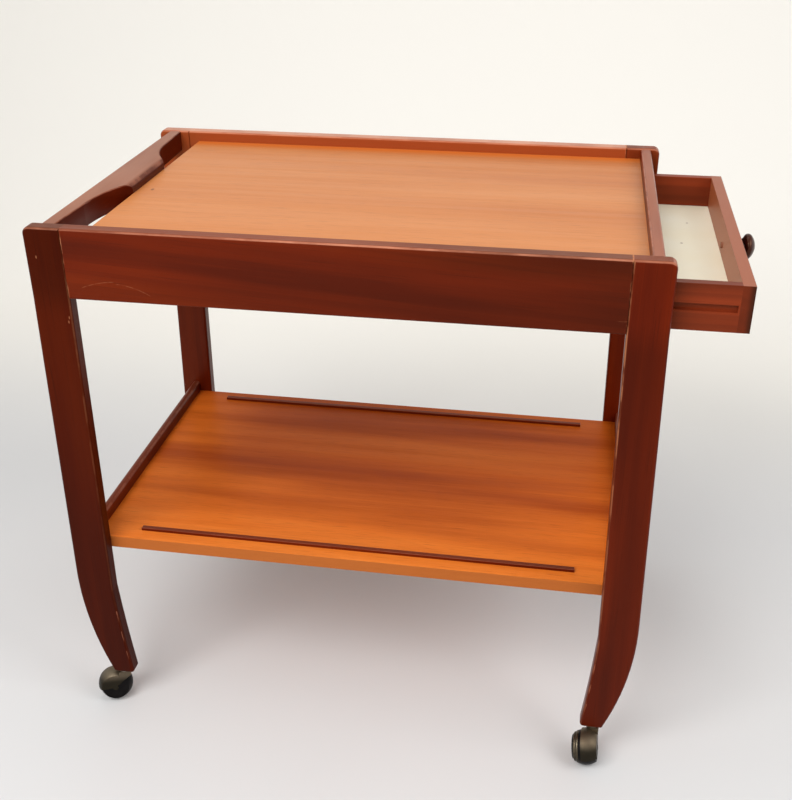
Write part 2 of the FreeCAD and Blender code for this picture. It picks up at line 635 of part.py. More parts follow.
def drawer_side(side):
    inwards = SIDES[side][1]
    near = DRAWER_NEAR if inwards > 0 else f"{DRAWER_WIDTH} / 2 - side_thick"
    length = "drawer_length - front_thick"
    body = board(f"drawer_side_{side}", (length, "side_thick", "drawer_depth"),
                 (DRAWER_BACK, near, DRAWER_BASE))
    soften(body, "Edges", "drawer_arris",
           lambda edge: runs_along(edge, X_AXIS) and at_height(edge, "drawer_depth"))
    outer = "0" if inwards > 0 else "side_thick - groove_depth"
    inner = "side_thick - bottom_tongue" if inwards > 0 else "0"
    cut_box(body, "Runner_groove", ("drawer_length - groove_stop", "groove_depth", GROOVE_HEIGHT),
            ("0", outer, "groove_rise"))
    cut_box(body, "Bottom_groove", (length, "bottom_tongue", BOTTOM_GROOVE), ("0", inner, "bottom_rise"))
    for row, height in enumerate(SIDE_DOWELS):
        bore(body, f"dowel_hole_{row}", "pin_radius + dowel_gap", "pin_bite + dowel_gap",
             (length, "side_thick / 2", height), BACK_ALONG_X)


def drawer_front():
    body = board("drawer_front", ("front_thick", DRAWER_WIDTH, "drawer_depth"),
                 (f"{DRAWER_FACE} - front_thick", DRAWER_NEAR, DRAWER_BASE))

    def shown(edge):
        return edge.CenterOfMass.x > value("front_thick") - TOUCH

    soften(body, "Edges", "drawer_arris", shown)
    cut_box(body, "Bottom_groove",
            ("bottom_tongue", f"{DRAWER_WIDTH} - 2 * side_thick + 2 * bottom_tongue", BOTTOM_GROOVE),
            ("0", "side_thick - bottom_tongue", "bottom_rise"))
    for row, height in enumerate(SIDE_DOWELS):
        for near, across in (("front", "side_thick / 2"), ("back", f"{DRAWER_WIDTH} - side_thick / 2")):
            bore(body, f"{near}_hole_{row}", "pin_radius + dowel_gap", "pin_bite + dowel_gap",
                 ("0", across, height), ALONG_X)
    bore(body, "Knob_hole", "knob_screw_radius + slide_gap", "front_thick",
         ("0", f"{DRAWER_WIDTH} / 2", "drawer_depth - knob_drop"), ALONG_X)


def drawer_back():
    width = f"{DRAWER_WIDTH} - 2 * side_thick"
    body = board("drawer_back", ("side_thick", width, f"drawer_depth - back_drop - {BACK_RISE}"),
                 (DRAWER_BACK, f"{DRAWER_NEAR} + side_thick", f"{DRAWER_BASE} + {BACK_RISE}"))
    soften(body, "Edges", "drawer_arris",
           lambda edge: runs_along(edge, Y_AXIS) and edge.CenterOfMass.z > value("side_thick"))


BACK_RISE = f"(bottom_rise + {BOTTOM_GROOVE})"


def drawer_bottom():
    board("drawer_bottom",
          ("drawer_length - front_thick + bottom_tongue - dowel_gap",
           f"{DRAWER_WIDTH} - 2 * side_thick + 2 * bottom_tongue - 2 * dowel_gap", "bottom_thick"),
          (DRAWER_BACK, f"{DRAWER_NEAR} + side_thick - bottom_tongue + dowel_gap",
           f"{DRAWER_BASE} + bottom_rise + dowel_gap"))


KNOB_CENTRE = ("((knob_reach ^ 2 - knob_widest ^ 2 - knob_radius ^ 2)"
               " / (2 * (knob_reach - knob_widest)))")
KNOB_DOME = f"(knob_reach - {KNOB_CENTRE})"


def drawer_knob():
    """Mushroom knob turned about the X axis, with a blind hole for its screw."""
    body = new_body("drawer_knob")
    corners = [
        ("0", "0"),
        ("0", "knob_neck"),
        ("knob_swell", "knob_back", "knob_cove", 1),
        ("knob_widest", "knob_radius", "knob_turn", -1),
        ("knob_reach", "0", KNOB_DOME, -1),
    ]
    sketch = outline(body, "XZ_Plane", "knob_outline", corners)
    revolve(body, sketch)

    soften(body, "Crown", "knob_crown_round",
           lambda edge: circular(edge) and abs(edge.Curve.Radius - value("knob_radius")) < TOUCH * 10)
    bore(body, "Screw_hole", "knob_screw_radius + dowel_gap", "knob_screw_bite + dowel_gap",
         ("0", "0", "0"), ALONG_X)
    place(body, DRAWER_FACE, "0", f"{DRAWER_TOP} - knob_drop")


def knob_screw():
    start = (f"{DRAWER_FACE} - front_thick", "0", f"{DRAWER_TOP} - knob_drop")
    shank = DOC.addObject("Part::Cylinder", "knob_screw_shank")
    bind(shank, Radius="knob_screw_radius", Height="front_thick + knob_screw_bite")
    place(shank, *start, ALONG_X)
    head = DOC.addObject("Part::Cylinder", "knob_screw_head")
    bind(head, Radius="2 * knob_screw_radius", Height="knob_screw_radius")
    place(head, f"{start[0]} - knob_screw_radius", start[1], start[2], ALONG_X)
    screw = DOC.addObject("Part::Fuse", "knob_screw")
    screw.Base = shank
    screw.Tool = head
    screw.Label = "knob_screw"
    PARTS.append(screw)


# ---------------------------------------------------------------- lower shelf

SHELF_DOWELS = tuple(f"({BAY_WIDTH} * {share})" for share in (0.15, 0.5, 0.85))


def shelf_panel():
    body = board("shelf_panel",
                 ("frame_length - 2 * shelf_inset", f"{BAY_WIDTH} - 2 * fit_gap", "shelf_thick"),
                 (f"{LEFT} + shelf_inset", f"{FRONT} + frame_stock + fit_gap", SHELF_BASE))
    soften(body, "Edges", "shelf_arris", lambda edge: runs_along(edge, X_AXIS))
    for row, wide in enumerate(SHELF_DOWELS):
        spot = (f"{wide} - fit_gap", "shelf_thick / 2")
        bore(body, f"left_hole_{row}", "pin_radius + dowel_gap", "pin_bite + dowel_gap",
             ("0", *spot), ALONG_X)
        bore(body, f"right_hole_{row}", "pin_radius + dowel_gap", "pin_bite + dowel_gap",
             ("frame_length - 2 * shelf_inset", *spot), BACK_ALONG_X)


def shelf_end_rail(end):
    """Round-topped rail between the legs that carries one end of the shelf."""
    end_place, inwards = ENDS[end]
    near = f"{end_place} + shelf_inset - end_rail_thick" if inwards > 0 else f"{end_place} - shelf_inset"
    body = board(f"shelf_rail_{end}", ("end_rail_thick", BAY_WIDTH, "end_rail_depth"),
                 (near, f"{FRONT} + frame_stock", END_RAIL_BASE))
    soften(body, "Round_top", "end_rail_thick * 0.46",
           lambda edge: runs_along(edge, Y_AXIS) and at_height(edge, "end_rail_depth"))
    for row, height in enumerate(END_RAIL_DOWELS):
        spot = ("end_rail_thick / 2", f"{height} - {END_RAIL_BASE}")
        dowel_hole(body, f"front_hole_{row}", (spot[0], "0", spot[1]), ALONG_Y)
        dowel_hole(body, f"back_hole_{row}", (spot[0], BAY_WIDTH, spot[1]), BACK_ALONG_Y)
    face = "end_rail_thick" if inwards > 0 else "0"
    into_rail = BACK_ALONG_X if inwards > 0 else ALONG_X
    for row, wide in enumerate(SHELF_DOWELS):
        bore(body, f"shelf_hole_{row}", "pin_radius + dowel_gap", "pin_bite + dowel_gap",
             (face, wide, f"{SHELF_BASE} + shelf_thick / 2 - {END_RAIL_BASE}"), into_rail)


def gallery_strip(side):
    inwards = SIDES[side][1]
    inset = "(frame_stock + strip_inset)"
    near = f"{FRONT} + {inset}" if inwards > 0 else f"0 - {FRONT} - {inset} - strip_width"
    body = board(f"gallery_strip_{side}", ("strip_length", "strip_width", "strip_height"),
                 (f"({LEFT} + {RIGHT}) / 2 - strip_length / 2", near, SHELF_TOP))
    soften(body, "Top_edges", "strip_height * 0.25", lambda edge: at_height(edge, "strip_height"))


# ---------------------------------------------------------------- hidden fixings


def dowel_groups():
    joints = []
    for end, (end_place, inwards) in ENDS.items():
        joint = f"{end_place} + ({inwards}) * leg_width"
        for side, (middle, unused) in SIDES.items():
            for row, height in enumerate(RAIL_DOWELS):
                joints.append(dowel(f"leg_dowel_{end}_{side}_{row}", (joint, middle, height), ALONG_X))
    group("leg_dowels", joints)

    inner_faces = {side: f"({middle} + ({inwards}) * frame_stock / 2)"
                   for side, (middle, inwards) in SIDES.items()}
    group("board_dowels", [dowel(f"board_dowel_{end}_{side}_{row}", (across, face, height), ALONG_Y)
                           for end, spots in BOARD_DOWELS.items()
                           for side, face in inner_faces.items()
                           for row, (across, height) in enumerate(spots)])

    rails = []
    for end, (end_place, inwards) in ENDS.items():
        across = f"{end_place} + ({inwards}) * (shelf_inset - end_rail_thick / 2)"
        for side, face in inner_faces.items():
            for row, height in enumerate(END_RAIL_DOWELS):
                rails.append(dowel(f"rail_dowel_{end}_{side}_{row}", (across, face, height), ALONG_Y))
    group("shelf_rail_dowels", rails)

    shelf = []
    for end, (end_place, inwards) in ENDS.items():
        across = f"{end_place} + ({inwards}) * shelf_inset"
        for row, wide in enumerate(SHELF_DOWELS):
            start = (across, f"{FRONT} + frame_stock + {wide}", f"{SHELF_BASE} + shelf_thick / 2")
            shelf.append(dowel(f"shelf_pin_{end}_{row}", start, ALONG_X, "pin_radius", "pin_bite"))
    group("shelf_dowels", shelf)

    drawer = []
    for near, across in (("front", f"{DRAWER_NEAR} + side_thick / 2"),
                         ("back", f"{DRAWER_WIDTH} / 2 - side_thick / 2")):
        for row, height in enumerate(SIDE_DOWELS):
            start = (f"{DRAWER_FACE} - front_thick", across, f"{DRAWER_BASE} + {height}")
            drawer.append(dowel(f"drawer_pin_{near}_{row}", start, ALONG_X, "pin_radius", "pin_bite"))
    group("drawer_dowels", drawer)


def screw_groups():
    into_rail = []
    into_panel = []
    through_runner = []
    for side, (middle, inwards) in SIDES.items():
        face = f"({middle} + ({inwards}) * (frame_stock / 2 + batten_thick))"
        centre = f"({middle} + ({inwards}) * (frame_stock + batten_thick) / 2)"
        outwards = BACK_ALONG_Y if inwards > 0 else ALONG_Y
        for row, across in enumerate(BATTEN_SCREWS):
            into_rail.append(wood_screw(f"rail_screw_{side}_{row}", (across, face, BATTEN_MIDDLE), outwards))
        for row, across in enumerate(PANEL_SCREWS):
            start = (across, centre, f"{DECK_UNDER} - batten_depth")
            into_panel.append(wood_screw(f"panel_screw_{side}_{row}", start, ALONG_Z,
                                         "batten_depth + panel_bite"))
        inner = f"({middle} + ({inwards}) * (frame_stock / 2 + {RUNNER_DEPTH}))"
        for row, along in enumerate(RUNNER_SCREWS):
            start = (f"{RUNNER_LEFT} + {along}", inner, RUNNER_MIDDLE)
            through_runner.append(wood_screw(f"runner_screw_{side}_{row}", start, outwards,
                                             f"{RUNNER_DEPTH} + runner_bite"))
    group("batten_screws", into_rail)
    group("runner_screws", through_runner)
    group("panel_screws", into_panel)


# ---------------------------------------------------------------- casters

CASTERS = {
    "front_left": ("left", "front", 199),
    "front_right": ("right", "front", 266),
    "back_left": ("left", "back", 140),
    "back_right": ("right", "back", 80),
}
BALL = ("0 - wheel_offset", "wheel_radius", "caster_trail")
PLATE_INNER = "(wheel_inner + hood_gap)"
HOOD_INNER = "(wheel_radius + hood_gap)"
BOSS_TOP = "(foot_height - flange_thick - swivel_gap)"
AXLE_END = "(rim_start + rim_width)"
SLOPE = f"(2 * {HOOD_RADIUS})"


def on_ball(radius, across):
    return f"sqrt({radius} ^ 2 - {across} ^ 2)"


def on_axle(along):
    """The spot on the sloping axle that lies along from the ball's centre, towards the hood's plate."""
    return ("caster_trail", f"{along} * cos(axle_tilt) - wheel_offset",
            f"wheel_radius + {along} * sin(axle_tilt)")


def sloped(turn):
    return Rotation(X_AXIS, value("axle_tilt")).multiply(turn)


def caster_socket(name, spot):
    body = new_body(f"caster_socket_{name}")
    sleeve = body.newObject("PartDesign::AdditiveCylinder", "Sleeve")
    bind(sleeve, Radius=SOCKET_RADIUS, Height="stem_length + 2 * socket_wall + flange_thick")
    place(sleeve, "0", "0", "0 - flange_thick")
    flange = body.newObject("PartDesign::AdditiveCylinder", "Flange")
    bind(flange, Radius="flange_radius", Height="flange_thick")
    place(flange, "0", "0", "0 - flange_thick")
    DOC.recompute()
    bore(body, "Stem_hole", "stem_radius + stem_play", "stem_length + socket_wall + flange_thick",
         ("0", "0", "0 - flange_thick"), ALONG_Z)
    place(body, spot[0], spot[1], "foot_height")


def caster_stem(name, spot, turn):
    body = new_body(f"caster_stem_{name}")
    pin = body.newObject("PartDesign::AdditiveCylinder", "Pin")
    bind(pin, Radius="stem_radius", Height="stem_length + foot_height - " + STEM_BASE)
    place(pin, "0", "0", STEM_BASE)
    DOC.recompute()
    soften(body, "Tip", "stem_radius * 0.4",
           lambda edge: circular(edge) and edge.CenterOfMass.z > value("foot_height"))
    place(body, spot[0], spot[1], "0", turn)


STEM_BASE = f"({BOSS_TOP} - stem_hold)"


def caster_hood(name, spot, turn):
    """Ball-shaped hood: swivel boss, shoulder and shell over the wheel, and the plate for the axle."""
    body = new_body(f"caster_hood_{name}")
    boss = body.newObject("PartDesign::AdditiveCylinder", "Boss")
    bind(boss, Radius="boss_radius", Height=f"{BOSS_TOP} - wheel_radius - boss_rise")
    place(boss, "0", "0", "wheel_radius + boss_rise")
    shoulder = body.newObject("PartDesign::AdditiveBox", "Shoulder")
    bind(shoulder, Length="2 * boss_radius", Width="boss_radius",
         Height=f"{BOSS_TOP} - wheel_radius - boss_rise")
    place(shoulder, "0 - boss_radius", "0", "wheel_radius + boss_rise")
    DOC.recompute()
    room = body.newObject("PartDesign::SubtractiveSphere", "Wheel_room")
    bind(room, Radius=HOOD_INNER)
    place(room, *on_axle("0"))
    DOC.recompute()
    cut_box(body, "Sloping_edge", (SLOPE, f"2 * {SLOPE}", SLOPE),
            on_axle(f"(0 - {SLOPE})"), sloped(Rotation(Y_AXIS, -90 - value("hood_back"))))
    corners = [
        ("0 - hood_skirt", on_ball(HOOD_INNER, "hood_skirt"), HOOD_INNER, 1),
        ("0 - hood_skirt", on_ball(HOOD_RADIUS, "hood_skirt")),
        (PLATE_FACE, on_ball(HOOD_RADIUS, PLATE_FACE), HOOD_RADIUS, -1),
        (PLATE_FACE, "0"),
        (PLATE_INNER, "0"),
        (PLATE_INNER, on_ball(HOOD_INNER, PLATE_INNER)),
    ]
    sketch = outline(body, "YZ_Plane", f"hood_outline_{name}", corners, BALL, "axle_tilt")
    shell = body.newObject("PartDesign::Revolution", "Shell")
    shell.Profile = sketch
    shell.ReferenceAxis = (sketch, ["H_Axis"])
    shell.Type = "TwoAngles"
    bind(shell, Angle="hood_front", Angle2="hood_back")
    DOC.recompute()
    lobe = body.newObject("PartDesign::AdditiveCylinder", "Axle_lobe")
    bind(lobe, Radius="axle_boss", Height="hood_thick")
    place(lobe, *on_axle(PLATE_INNER), sloped(ALONG_Y))
    DOC.recompute()
    bore(body, "Axle_hole", "axle_radius + dowel_gap / 2", "axle_hold", on_axle(PLATE_INNER), sloped(ALONG_Y))
    bore(body, "Stem_hole", "stem_radius + dowel_gap / 2", "stem_hold",
         ("0", "0", BOSS_TOP), DOWNWARDS)
    place(body, spot[0], spot[1], "0", turn)


def caster_axle(name, spot, turn):
    body = new_body(f"caster_axle_{name}")
    pin = body.newObject("PartDesign::AdditiveCylinder", "Pin")
    bind(pin, Radius="axle_radius", Height=f"{AXLE_END} + {PLATE_INNER} + axle_hold")
    place(pin, *on_axle(f"(0 - {AXLE_END})"), sloped(ALONG_Y))
    DOC.recompute()
    place(body, spot[0], spot[1], "0", turn)


def caster_wheel(name, spot, turn):
    """Ball wheel turned about its axle, with a seat for the rim ring."""
    body = new_body(f"caster_wheel_{name}")
    rim_end = "(rim_start + rim_width)"
    corners = [
        ("0 - wheel_outer", "0"),
        ("0 - wheel_outer", on_ball("wheel_radius", "wheel_outer")),
        (f"0 - {rim_end}", on_ball("wheel_radius", rim_end)),
        (f"0 - {rim_end}", "rim_seat"),
        ("0 - rim_start", "rim_seat"),
        ("0 - rim_start", on_ball("wheel_radius", "rim_start")),
        ("wheel_inner", on_ball("wheel_radius", "wheel_inner"), "wheel_radius", -1),
        ("wheel_inner", "0"),
    ]
    sketch = outline(body, "YZ_Plane", f"wheel_outline_{name}", corners, BALL, "axle_tilt")
    revolve(body, sketch)
    bore(body, "Axle_hole", "axle_radius + axle_play", f"wheel_inner + {AXLE_END} + axle_play",
         on_axle("wheel_inner"), sloped(BACK_ALONG_Y))
    place(body, spot[0], spot[1], "0", turn)


def caster_rim(name, spot, turn):
    """Ring with two turned beads, fixed round the wheel."""
    body = new_body(f"caster_rim_{name}")
    near = "(rim_start + dowel_gap)"
    far = "(rim_start + rim_width - dowel_gap)"
    corners = [
        (f"0 - {far}", "rim_seat + dowel_gap / 2"),
        (f"0 - {far}", "rim_low"),
        (f"0 - ({near} + {far}) / 2", "(rim_low + rim_high) / 2", "bead_radius", -1),
        (f"0 - {near}", "rim_high", "bead_radius", -1),
        (f"0 - {near}", "rim_seat + dowel_gap / 2"),
    ]
    sketch = outline(body, "YZ_Plane", f"rim_outline_{name}", corners, BALL, "axle_tilt")
    revolve(body, sketch)
    place(body, spot[0], spot[1], "0", turn)


def casters():
    for name, (end, side, degrees) in CASTERS.items():
        end_place, inwards = ENDS[end]
        spot = (f"{end_place} + ({inwards}) * {STEM_INSET}", SIDES[side][0])
        turn = Rotation(Z_AXIS, degrees)
        caster_socket(name, spot)
        caster_stem(name, spot, turn)
        caster_hood(name, spot, turn)
        caster_axle(name, spot, turn)
        caster_wheel(name, spot, turn)
        caster_rim(name, spot, turn)


# ---------------------------------------------------------------- assembly, tests and export


def build():
    for end in ENDS:
        for side in SIDES:
            leg(f"leg_{side}_{end}", end, side)
        shelf_end_rail(end)
    for side in SIDES:
        long_rail(f"long_rail_{side}", side)
        batten(side)
        runner(side)
        drawer_side(side)
        gallery_strip(side)
    handle_board()
    cross_rail()
    top_panel()
    drawer_front()
    drawer_back()
    drawer_bottom()
    drawer_knob()
    knob_screw()
    shelf_panel()
    dowel_groups()
    screw_groups()
    casters()
    DOC.recompute()


def faults():
    found = [f"{thing.Label}: {thing.State}" for thing in DOC.Objects
             if "Invalid" in thing.State or "Error" in thing.State]
    for part in PARTS:
        if part.Shape.isNull() or not part.Shape.isValid() or not part.Shape.Solids:
            found.append(f"{part.Label}: no valid solid")
    return found


build()
problems = faults()
if problems:
    print("\n".join(problems))
    sys.exit(1)
os.makedirs("parts", exist_ok=True)
for part in PARTS:
    part.Shape.exportStep(f"parts/{part.Label}.step")
    print(f"{part.Label}: {len(part.Shape.Solids)} solid(s), {part.Shape.Volume:.0f} mm3")
print(f"{len(PARTS)} nodes")
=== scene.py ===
# %% [markdown]
# # A tea trolley in dark hardwood and teak veneer
#
# The trolley has four sabre legs on ball casters, a galleried top with a handle board, an end
# drawer that stands open, and a lower shelf between round-topped rails. Its solids come ready
# made from the part's own source, one mesh for each real piece. Nothing about their shape has to
# be drawn again, so this lesson is about what a furniture maker calls the finish: stain, veneer,
# grain, wear and light. Every object is in metres, and each mesh already lies where it belongs.

# %% Load the solids as a fixed frame
import math

import bpy
from mathutils import Matrix, Vector


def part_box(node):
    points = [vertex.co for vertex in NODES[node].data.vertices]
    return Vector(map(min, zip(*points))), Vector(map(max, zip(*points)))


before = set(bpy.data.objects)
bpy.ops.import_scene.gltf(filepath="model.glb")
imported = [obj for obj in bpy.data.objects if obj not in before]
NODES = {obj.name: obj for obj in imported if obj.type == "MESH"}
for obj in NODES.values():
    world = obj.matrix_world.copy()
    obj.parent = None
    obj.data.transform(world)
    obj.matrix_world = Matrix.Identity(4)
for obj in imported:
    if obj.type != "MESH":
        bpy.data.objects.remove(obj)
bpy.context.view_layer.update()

# %% [markdown]
# ## Where the pieces meet
#
# Wear, pale joint lines and scratches sit at real places: beside an edge, along a joint, near a
# foot. Those places could be typed in as numbers, but then they would drift when a piece changes.
# Reading them from the pieces' own boxes keeps finish and shape together.

# %% Landmarks read from the pieces
RAIL_LOW, RAIL_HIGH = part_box("long_rail_front")
FOOT_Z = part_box("leg_front_left")[0].z
SHELF_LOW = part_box("shelf_panel")[0]
JOINTS_X = (RAIL_LOW.x, RAIL_HIGH.x)
STOCK = RAIL_HIGH.y - RAIL_LOW.y
print("rail joints at x =", [round(x, 4) for x in JOINTS_X], "stock", round(STOCK, 4))

# %% [markdown]
# ## A small kit for shader nodes
#
# A procedural material is a graph of nodes. Writing each node and each link by hand takes many
# lines, so a small class does it: `make` adds a node and fills its sockets, and a socket that is
# given another node's output is linked to it. The other methods are short names for sums, masks
# and colour ramps. A mask is a number from 0 to 1 that says how much of a change each place gets.


# %% Shader node helpers
def linear(red, green, blue):
    """An sRGB colour of 0 to 255 as the linear colour that shaders use."""
    def channel(value):
        value /= 255
        return value / 12.92 if value <= 0.04045 else ((value + 0.055) / 1.055) ** 2.4
    return (channel(red), channel(green), channel(blue), 1)


class Graph:
    """A node tree, with one short method for each kind of node."""

    def __init__(self, tree):
        self.tree = tree

    def make(self, kind, settings=None, **sockets):
        """Add a node; i0 means its first socket, and Base_Color the one labelled Base Color."""
        made = self.tree.nodes.new(kind)
        for name, value in (settings or {}).items():
            setattr(made, name, value)
        for name, value in sockets.items():
            self.feed(made, name.replace("_", " "), value)
        return made

    def feed(self, made, name, value):
        index = int(name[1:]) if name[0] == "i" and name[1:].isdigit() else name
        socket = made.inputs[index]
        if isinstance(value, bpy.types.NodeSocket):
            self.tree.links.new(value, socket)
        else:
            socket.default_value = value

    def calc(self, operation, first, second=0.0, third=0.0):
        made = self.make("ShaderNodeMath", {"operation": operation}, i0=first, i1=second, i2=third)
        return made.outputs[0]

    def product(self, first, *others):
        for other in others:
            first = self.calc("MULTIPLY", first, other)
        return first

    def highest(self, first, *others):
        for other in others:
            first = self.calc("MAXIMUM", first, other)
        return first

    def vector(self, operation, first, second=(0, 0, 0)):
        made = self.make("ShaderNodeVectorMath", {"operation": operation}, i0=first, i1=second)
        return made.outputs["Value" if operation == "LENGTH" else "Vector"]

    def scaled(self, vector, scale):
        return self.make("ShaderNodeMapping", Vector=vector, Scale=scale).outputs[0]

    def noise(self, vector, scale, detail=3.0, roughness=0.5):
        made = self.make("ShaderNodeTexNoise", Vector=vector, Scale=scale, Detail=detail,
                         Roughness=roughness)
        return made.outputs["Fac"]

    def fade(self, value, low, high, start=0.0, end=1.0):
        """A smooth step from start to end while value goes from low to high."""
        made = self.make("ShaderNodeMapRange", {"interpolation_type": "SMOOTHSTEP"},
                         i0=value, i1=low, i2=high, i3=start, i4=end)
        return made.outputs[0]

    def blend(self, share, first, second, mode="MIX"):
        made = self.make("ShaderNodeMix", {"data_type": "RGBA", "blend_type": mode})
        self.feed(made, "i0", share)
        self.feed(made, "i6", first)
        self.feed(made, "i7", second)
        return made.outputs[2]

    def ramp(self, value, *stops):
        made = self.make("ShaderNodeValToRGB", Fac=value)
        bar = made.color_ramp.elements
        while len(bar) < len(stops):
            bar.new(0.5)
        for element, (place, colour) in zip(bar, stops):
            element.position = place
            element.color = colour
        return made.outputs["Color"]

    def split(self, vector):
        return self.make("ShaderNodeSeparateXYZ", i0=vector).outputs[:3]

    def seen_directly(self):
        """1 for what the camera, a mirror or glass shows, 0 for light that falls on a piece."""
        path = self.make("ShaderNodeLightPath").outputs
        return self.highest(path["Is Camera Ray"], path["Is Glossy Ray"],
                            path["Is Transmission Ray"])


print("node kit ready")

# %% [markdown]
# ## A finish knows its place
#
# Varnish wears on level tops and along rounded edges, which also carry painted sheen and
# painted highlights, and a scratch or a speck lies at one spot.
# An image wrapped round the piece could hold all that, but it is as sharp only as its pixels. Two
# facts about each point of the surface are enough instead: where it lies in the trolley and which
# way it faces. So a finish is a material that offers both, with a mask for one small round mark.

# %% Finish class
SPECK_CORE = 0.55    # the part of a speck's radius that is fully dark


class Finish(Graph):
    """One material and its node graph."""

    def __init__(self, name):
        self.material = bpy.data.materials.new(name)
        self.material.use_nodes = True
        super().__init__(self.material.node_tree)
        self.shader = self.tree.nodes["Principled BSDF"]
        self.place = self.make("ShaderNodeTexCoord").outputs["Object"]

    def axes(self):
        """Where the surface lies, as three numbers along the trolley's axes."""
        return self.split(self.place)

    def facing(self):
        """The way the surface faces, as three numbers along the trolley's axes."""
        return self.split(self.make("ShaderNodeNewGeometry").outputs["Normal"])

    def patches(self, per_metre, detail=3.0, roughness=0.5):
        """Cloudy noise with its own number of patches per metre along each axis."""
        placed = self.scaled(self.place, per_metre)
        return self.noise(placed, scale=1.0, detail=detail, roughness=roughness)

    def bump(self, height, depth, strength, under=None):
        made = self.make("ShaderNodeBump", Strength=strength, Distance=depth, Height=height)
        if under is not None:
            self.feed(made, "Normal", under)
        return made.outputs[0]

    def speck(self, centre, radius, squeeze=(1.0, 1.0, 1.0)):
        """1 inside a small round mark, 0 outside."""
        off = self.vector("SUBTRACT", self.place, tuple(centre))
        off = self.vector("LENGTH", self.vector("MULTIPLY", off, squeeze))
        return self.fade(off, radius, radius * SPECK_CORE)

    def dress(self, *names):
        for name in names:
            mesh = NODES[name].data
            mesh.materials.clear()
            mesh.materials.append(self.material)


print("finish class ready")

# %% [markdown]
# ## Wood as a solid
#
# An image of veneer could be wrapped round each piece, but it would repeat, and it would not
# meet at the corners. Here the wood is a solid instead: rings round a pith line that runs along
# the board, fibres stretched along it, and short open pores. Whatever surface cuts through that
# solid shows the right figure, with long streaks on the faces and rings on the end grain. Varnish
# over wood mirrors a little of its warmth, so the reflection is tinted too.

# %% Solid wood class
GRAIN = {"X": (0, 1, 2), "Y": (1, 0, 2), "Z": (2, 0, 1)}    # the axis along it, then the others
APART = (1, 0.37, 0.61)              # how a shift moves the wood along those three
WARM_GLOSS = (1.0, 0.60, 0.38, 1)    # the colour of a reflection
RIPPLES = (5, 30, 30)                # waves per metre in the varnish, along and across the grain
RELIEF = 0.6                         # how strongly waves and pores tilt the surface


class Wood(Finish):
    """Wood with its grain along one axis of the trolley; shift picks another place in the tree."""

    def __init__(self, name, along, pith, lean, shift, slant=0.0):
        super().__init__(name)
        parts = self.axes()
        first, second, third = (parts[index] for index in GRAIN[along])
        third = self.calc("MULTIPLY_ADD", first, slant, third)
        turned = self.make("ShaderNodeCombineXYZ", i0=first, i1=second, i2=third).outputs[0]
        self.grain = self.vector("ADD", turned, tuple(shift * part for part in APART))
        self.wander = self.noise(self.scaled(self.grain, (1.6, 9, 9)), scale=1.0, detail=2.0)
        self.pith, self.lean = pith, lean
        self.colour = self.open_pores = None

    def rings(self, per_metre, wobble=0.012):
        """Growth rings, 0 in early wood and 1 in late wood."""
        x, y, z = self.split(self.grain)
        y = self.calc("MULTIPLY_ADD", x, self.lean, y)
        y = self.calc("SUBTRACT", y, self.pith[0])
        z = self.calc("SUBTRACT", z, self.pith[1])
        across = self.make("ShaderNodeCombineXYZ", i1=y, i2=z).outputs[0]
        distance = self.calc("MULTIPLY_ADD", self.wander, wobble, self.vector("LENGTH", across))
        tooth = self.calc("FRACT", self.calc("MULTIPLY", distance, per_metre))
        return self.fade(tooth, 0.25, 0.97)

    def streaks(self, across, along, detail=4.0):
        stretched = self.scaled(self.grain, (along, across, across))
        return self.noise(stretched, scale=1.0, detail=detail, roughness=0.6)

    def pores(self, across=900, along=26):
        stretched = self.scaled(self.grain, (along, across, across))
        cells = self.noise(stretched, scale=1.0, detail=1.0)
        return self.fade(cells, 0.60, 0.72)

    def tint(self, share, colour):
        """Move the wood's colour toward another one."""
        self.colour = self.blend(share, self.colour, colour)

    def shade(self, factor, share=1.0):
        """Multiply the wood's colour."""
        self.colour = self.blend(share, self.colour, factor, "MULTIPLY")

    def polish(self, roughness, pore_depth=0.00005, specular=0.3, wave=0.00004):
        self.feed(self.shader, "Base Color", self.colour)
        self.feed(self.shader, "Roughness", roughness)
        self.shader.inputs["Specular IOR Level"].default_value = specular
        self.shader.inputs["Specular Tint"].default_value = WARM_GLOSS
        ripple = self.noise(self.scaled(self.grain, RIPPLES), scale=1.0, detail=2.0)
        normal = self.bump(ripple, depth=wave, strength=RELIEF)
        deep = self.calc("MULTIPLY", self.open_pores, -1.0)
        normal = self.bump(deep, depth=pore_depth, strength=RELIEF, under=normal)
        self.feed(self.shader, "Normal", normal)


print("wood class ready")

# %% [markdown]
# ## The stain
#
# Legs, long rails, handle board and end rails are one dark, red-brown hardwood. Stain sinks into
# it unevenly, so the colour between its rings differs little and the streaks along the fibres
# carry the figure. One colour for the whole frame would look like paint. A recipe with the
# grain's direction, a place in the tree and a tone gives each board its own figure in the same
# family of browns.

# %% Stained hardwood recipe
STAIN_DARK, STAIN, STAIN_WARM = linear(80, 17, 3), linear(104, 27, 4), linear(122, 38, 6)
STAIN_PORE = linear(44, 9, 3)


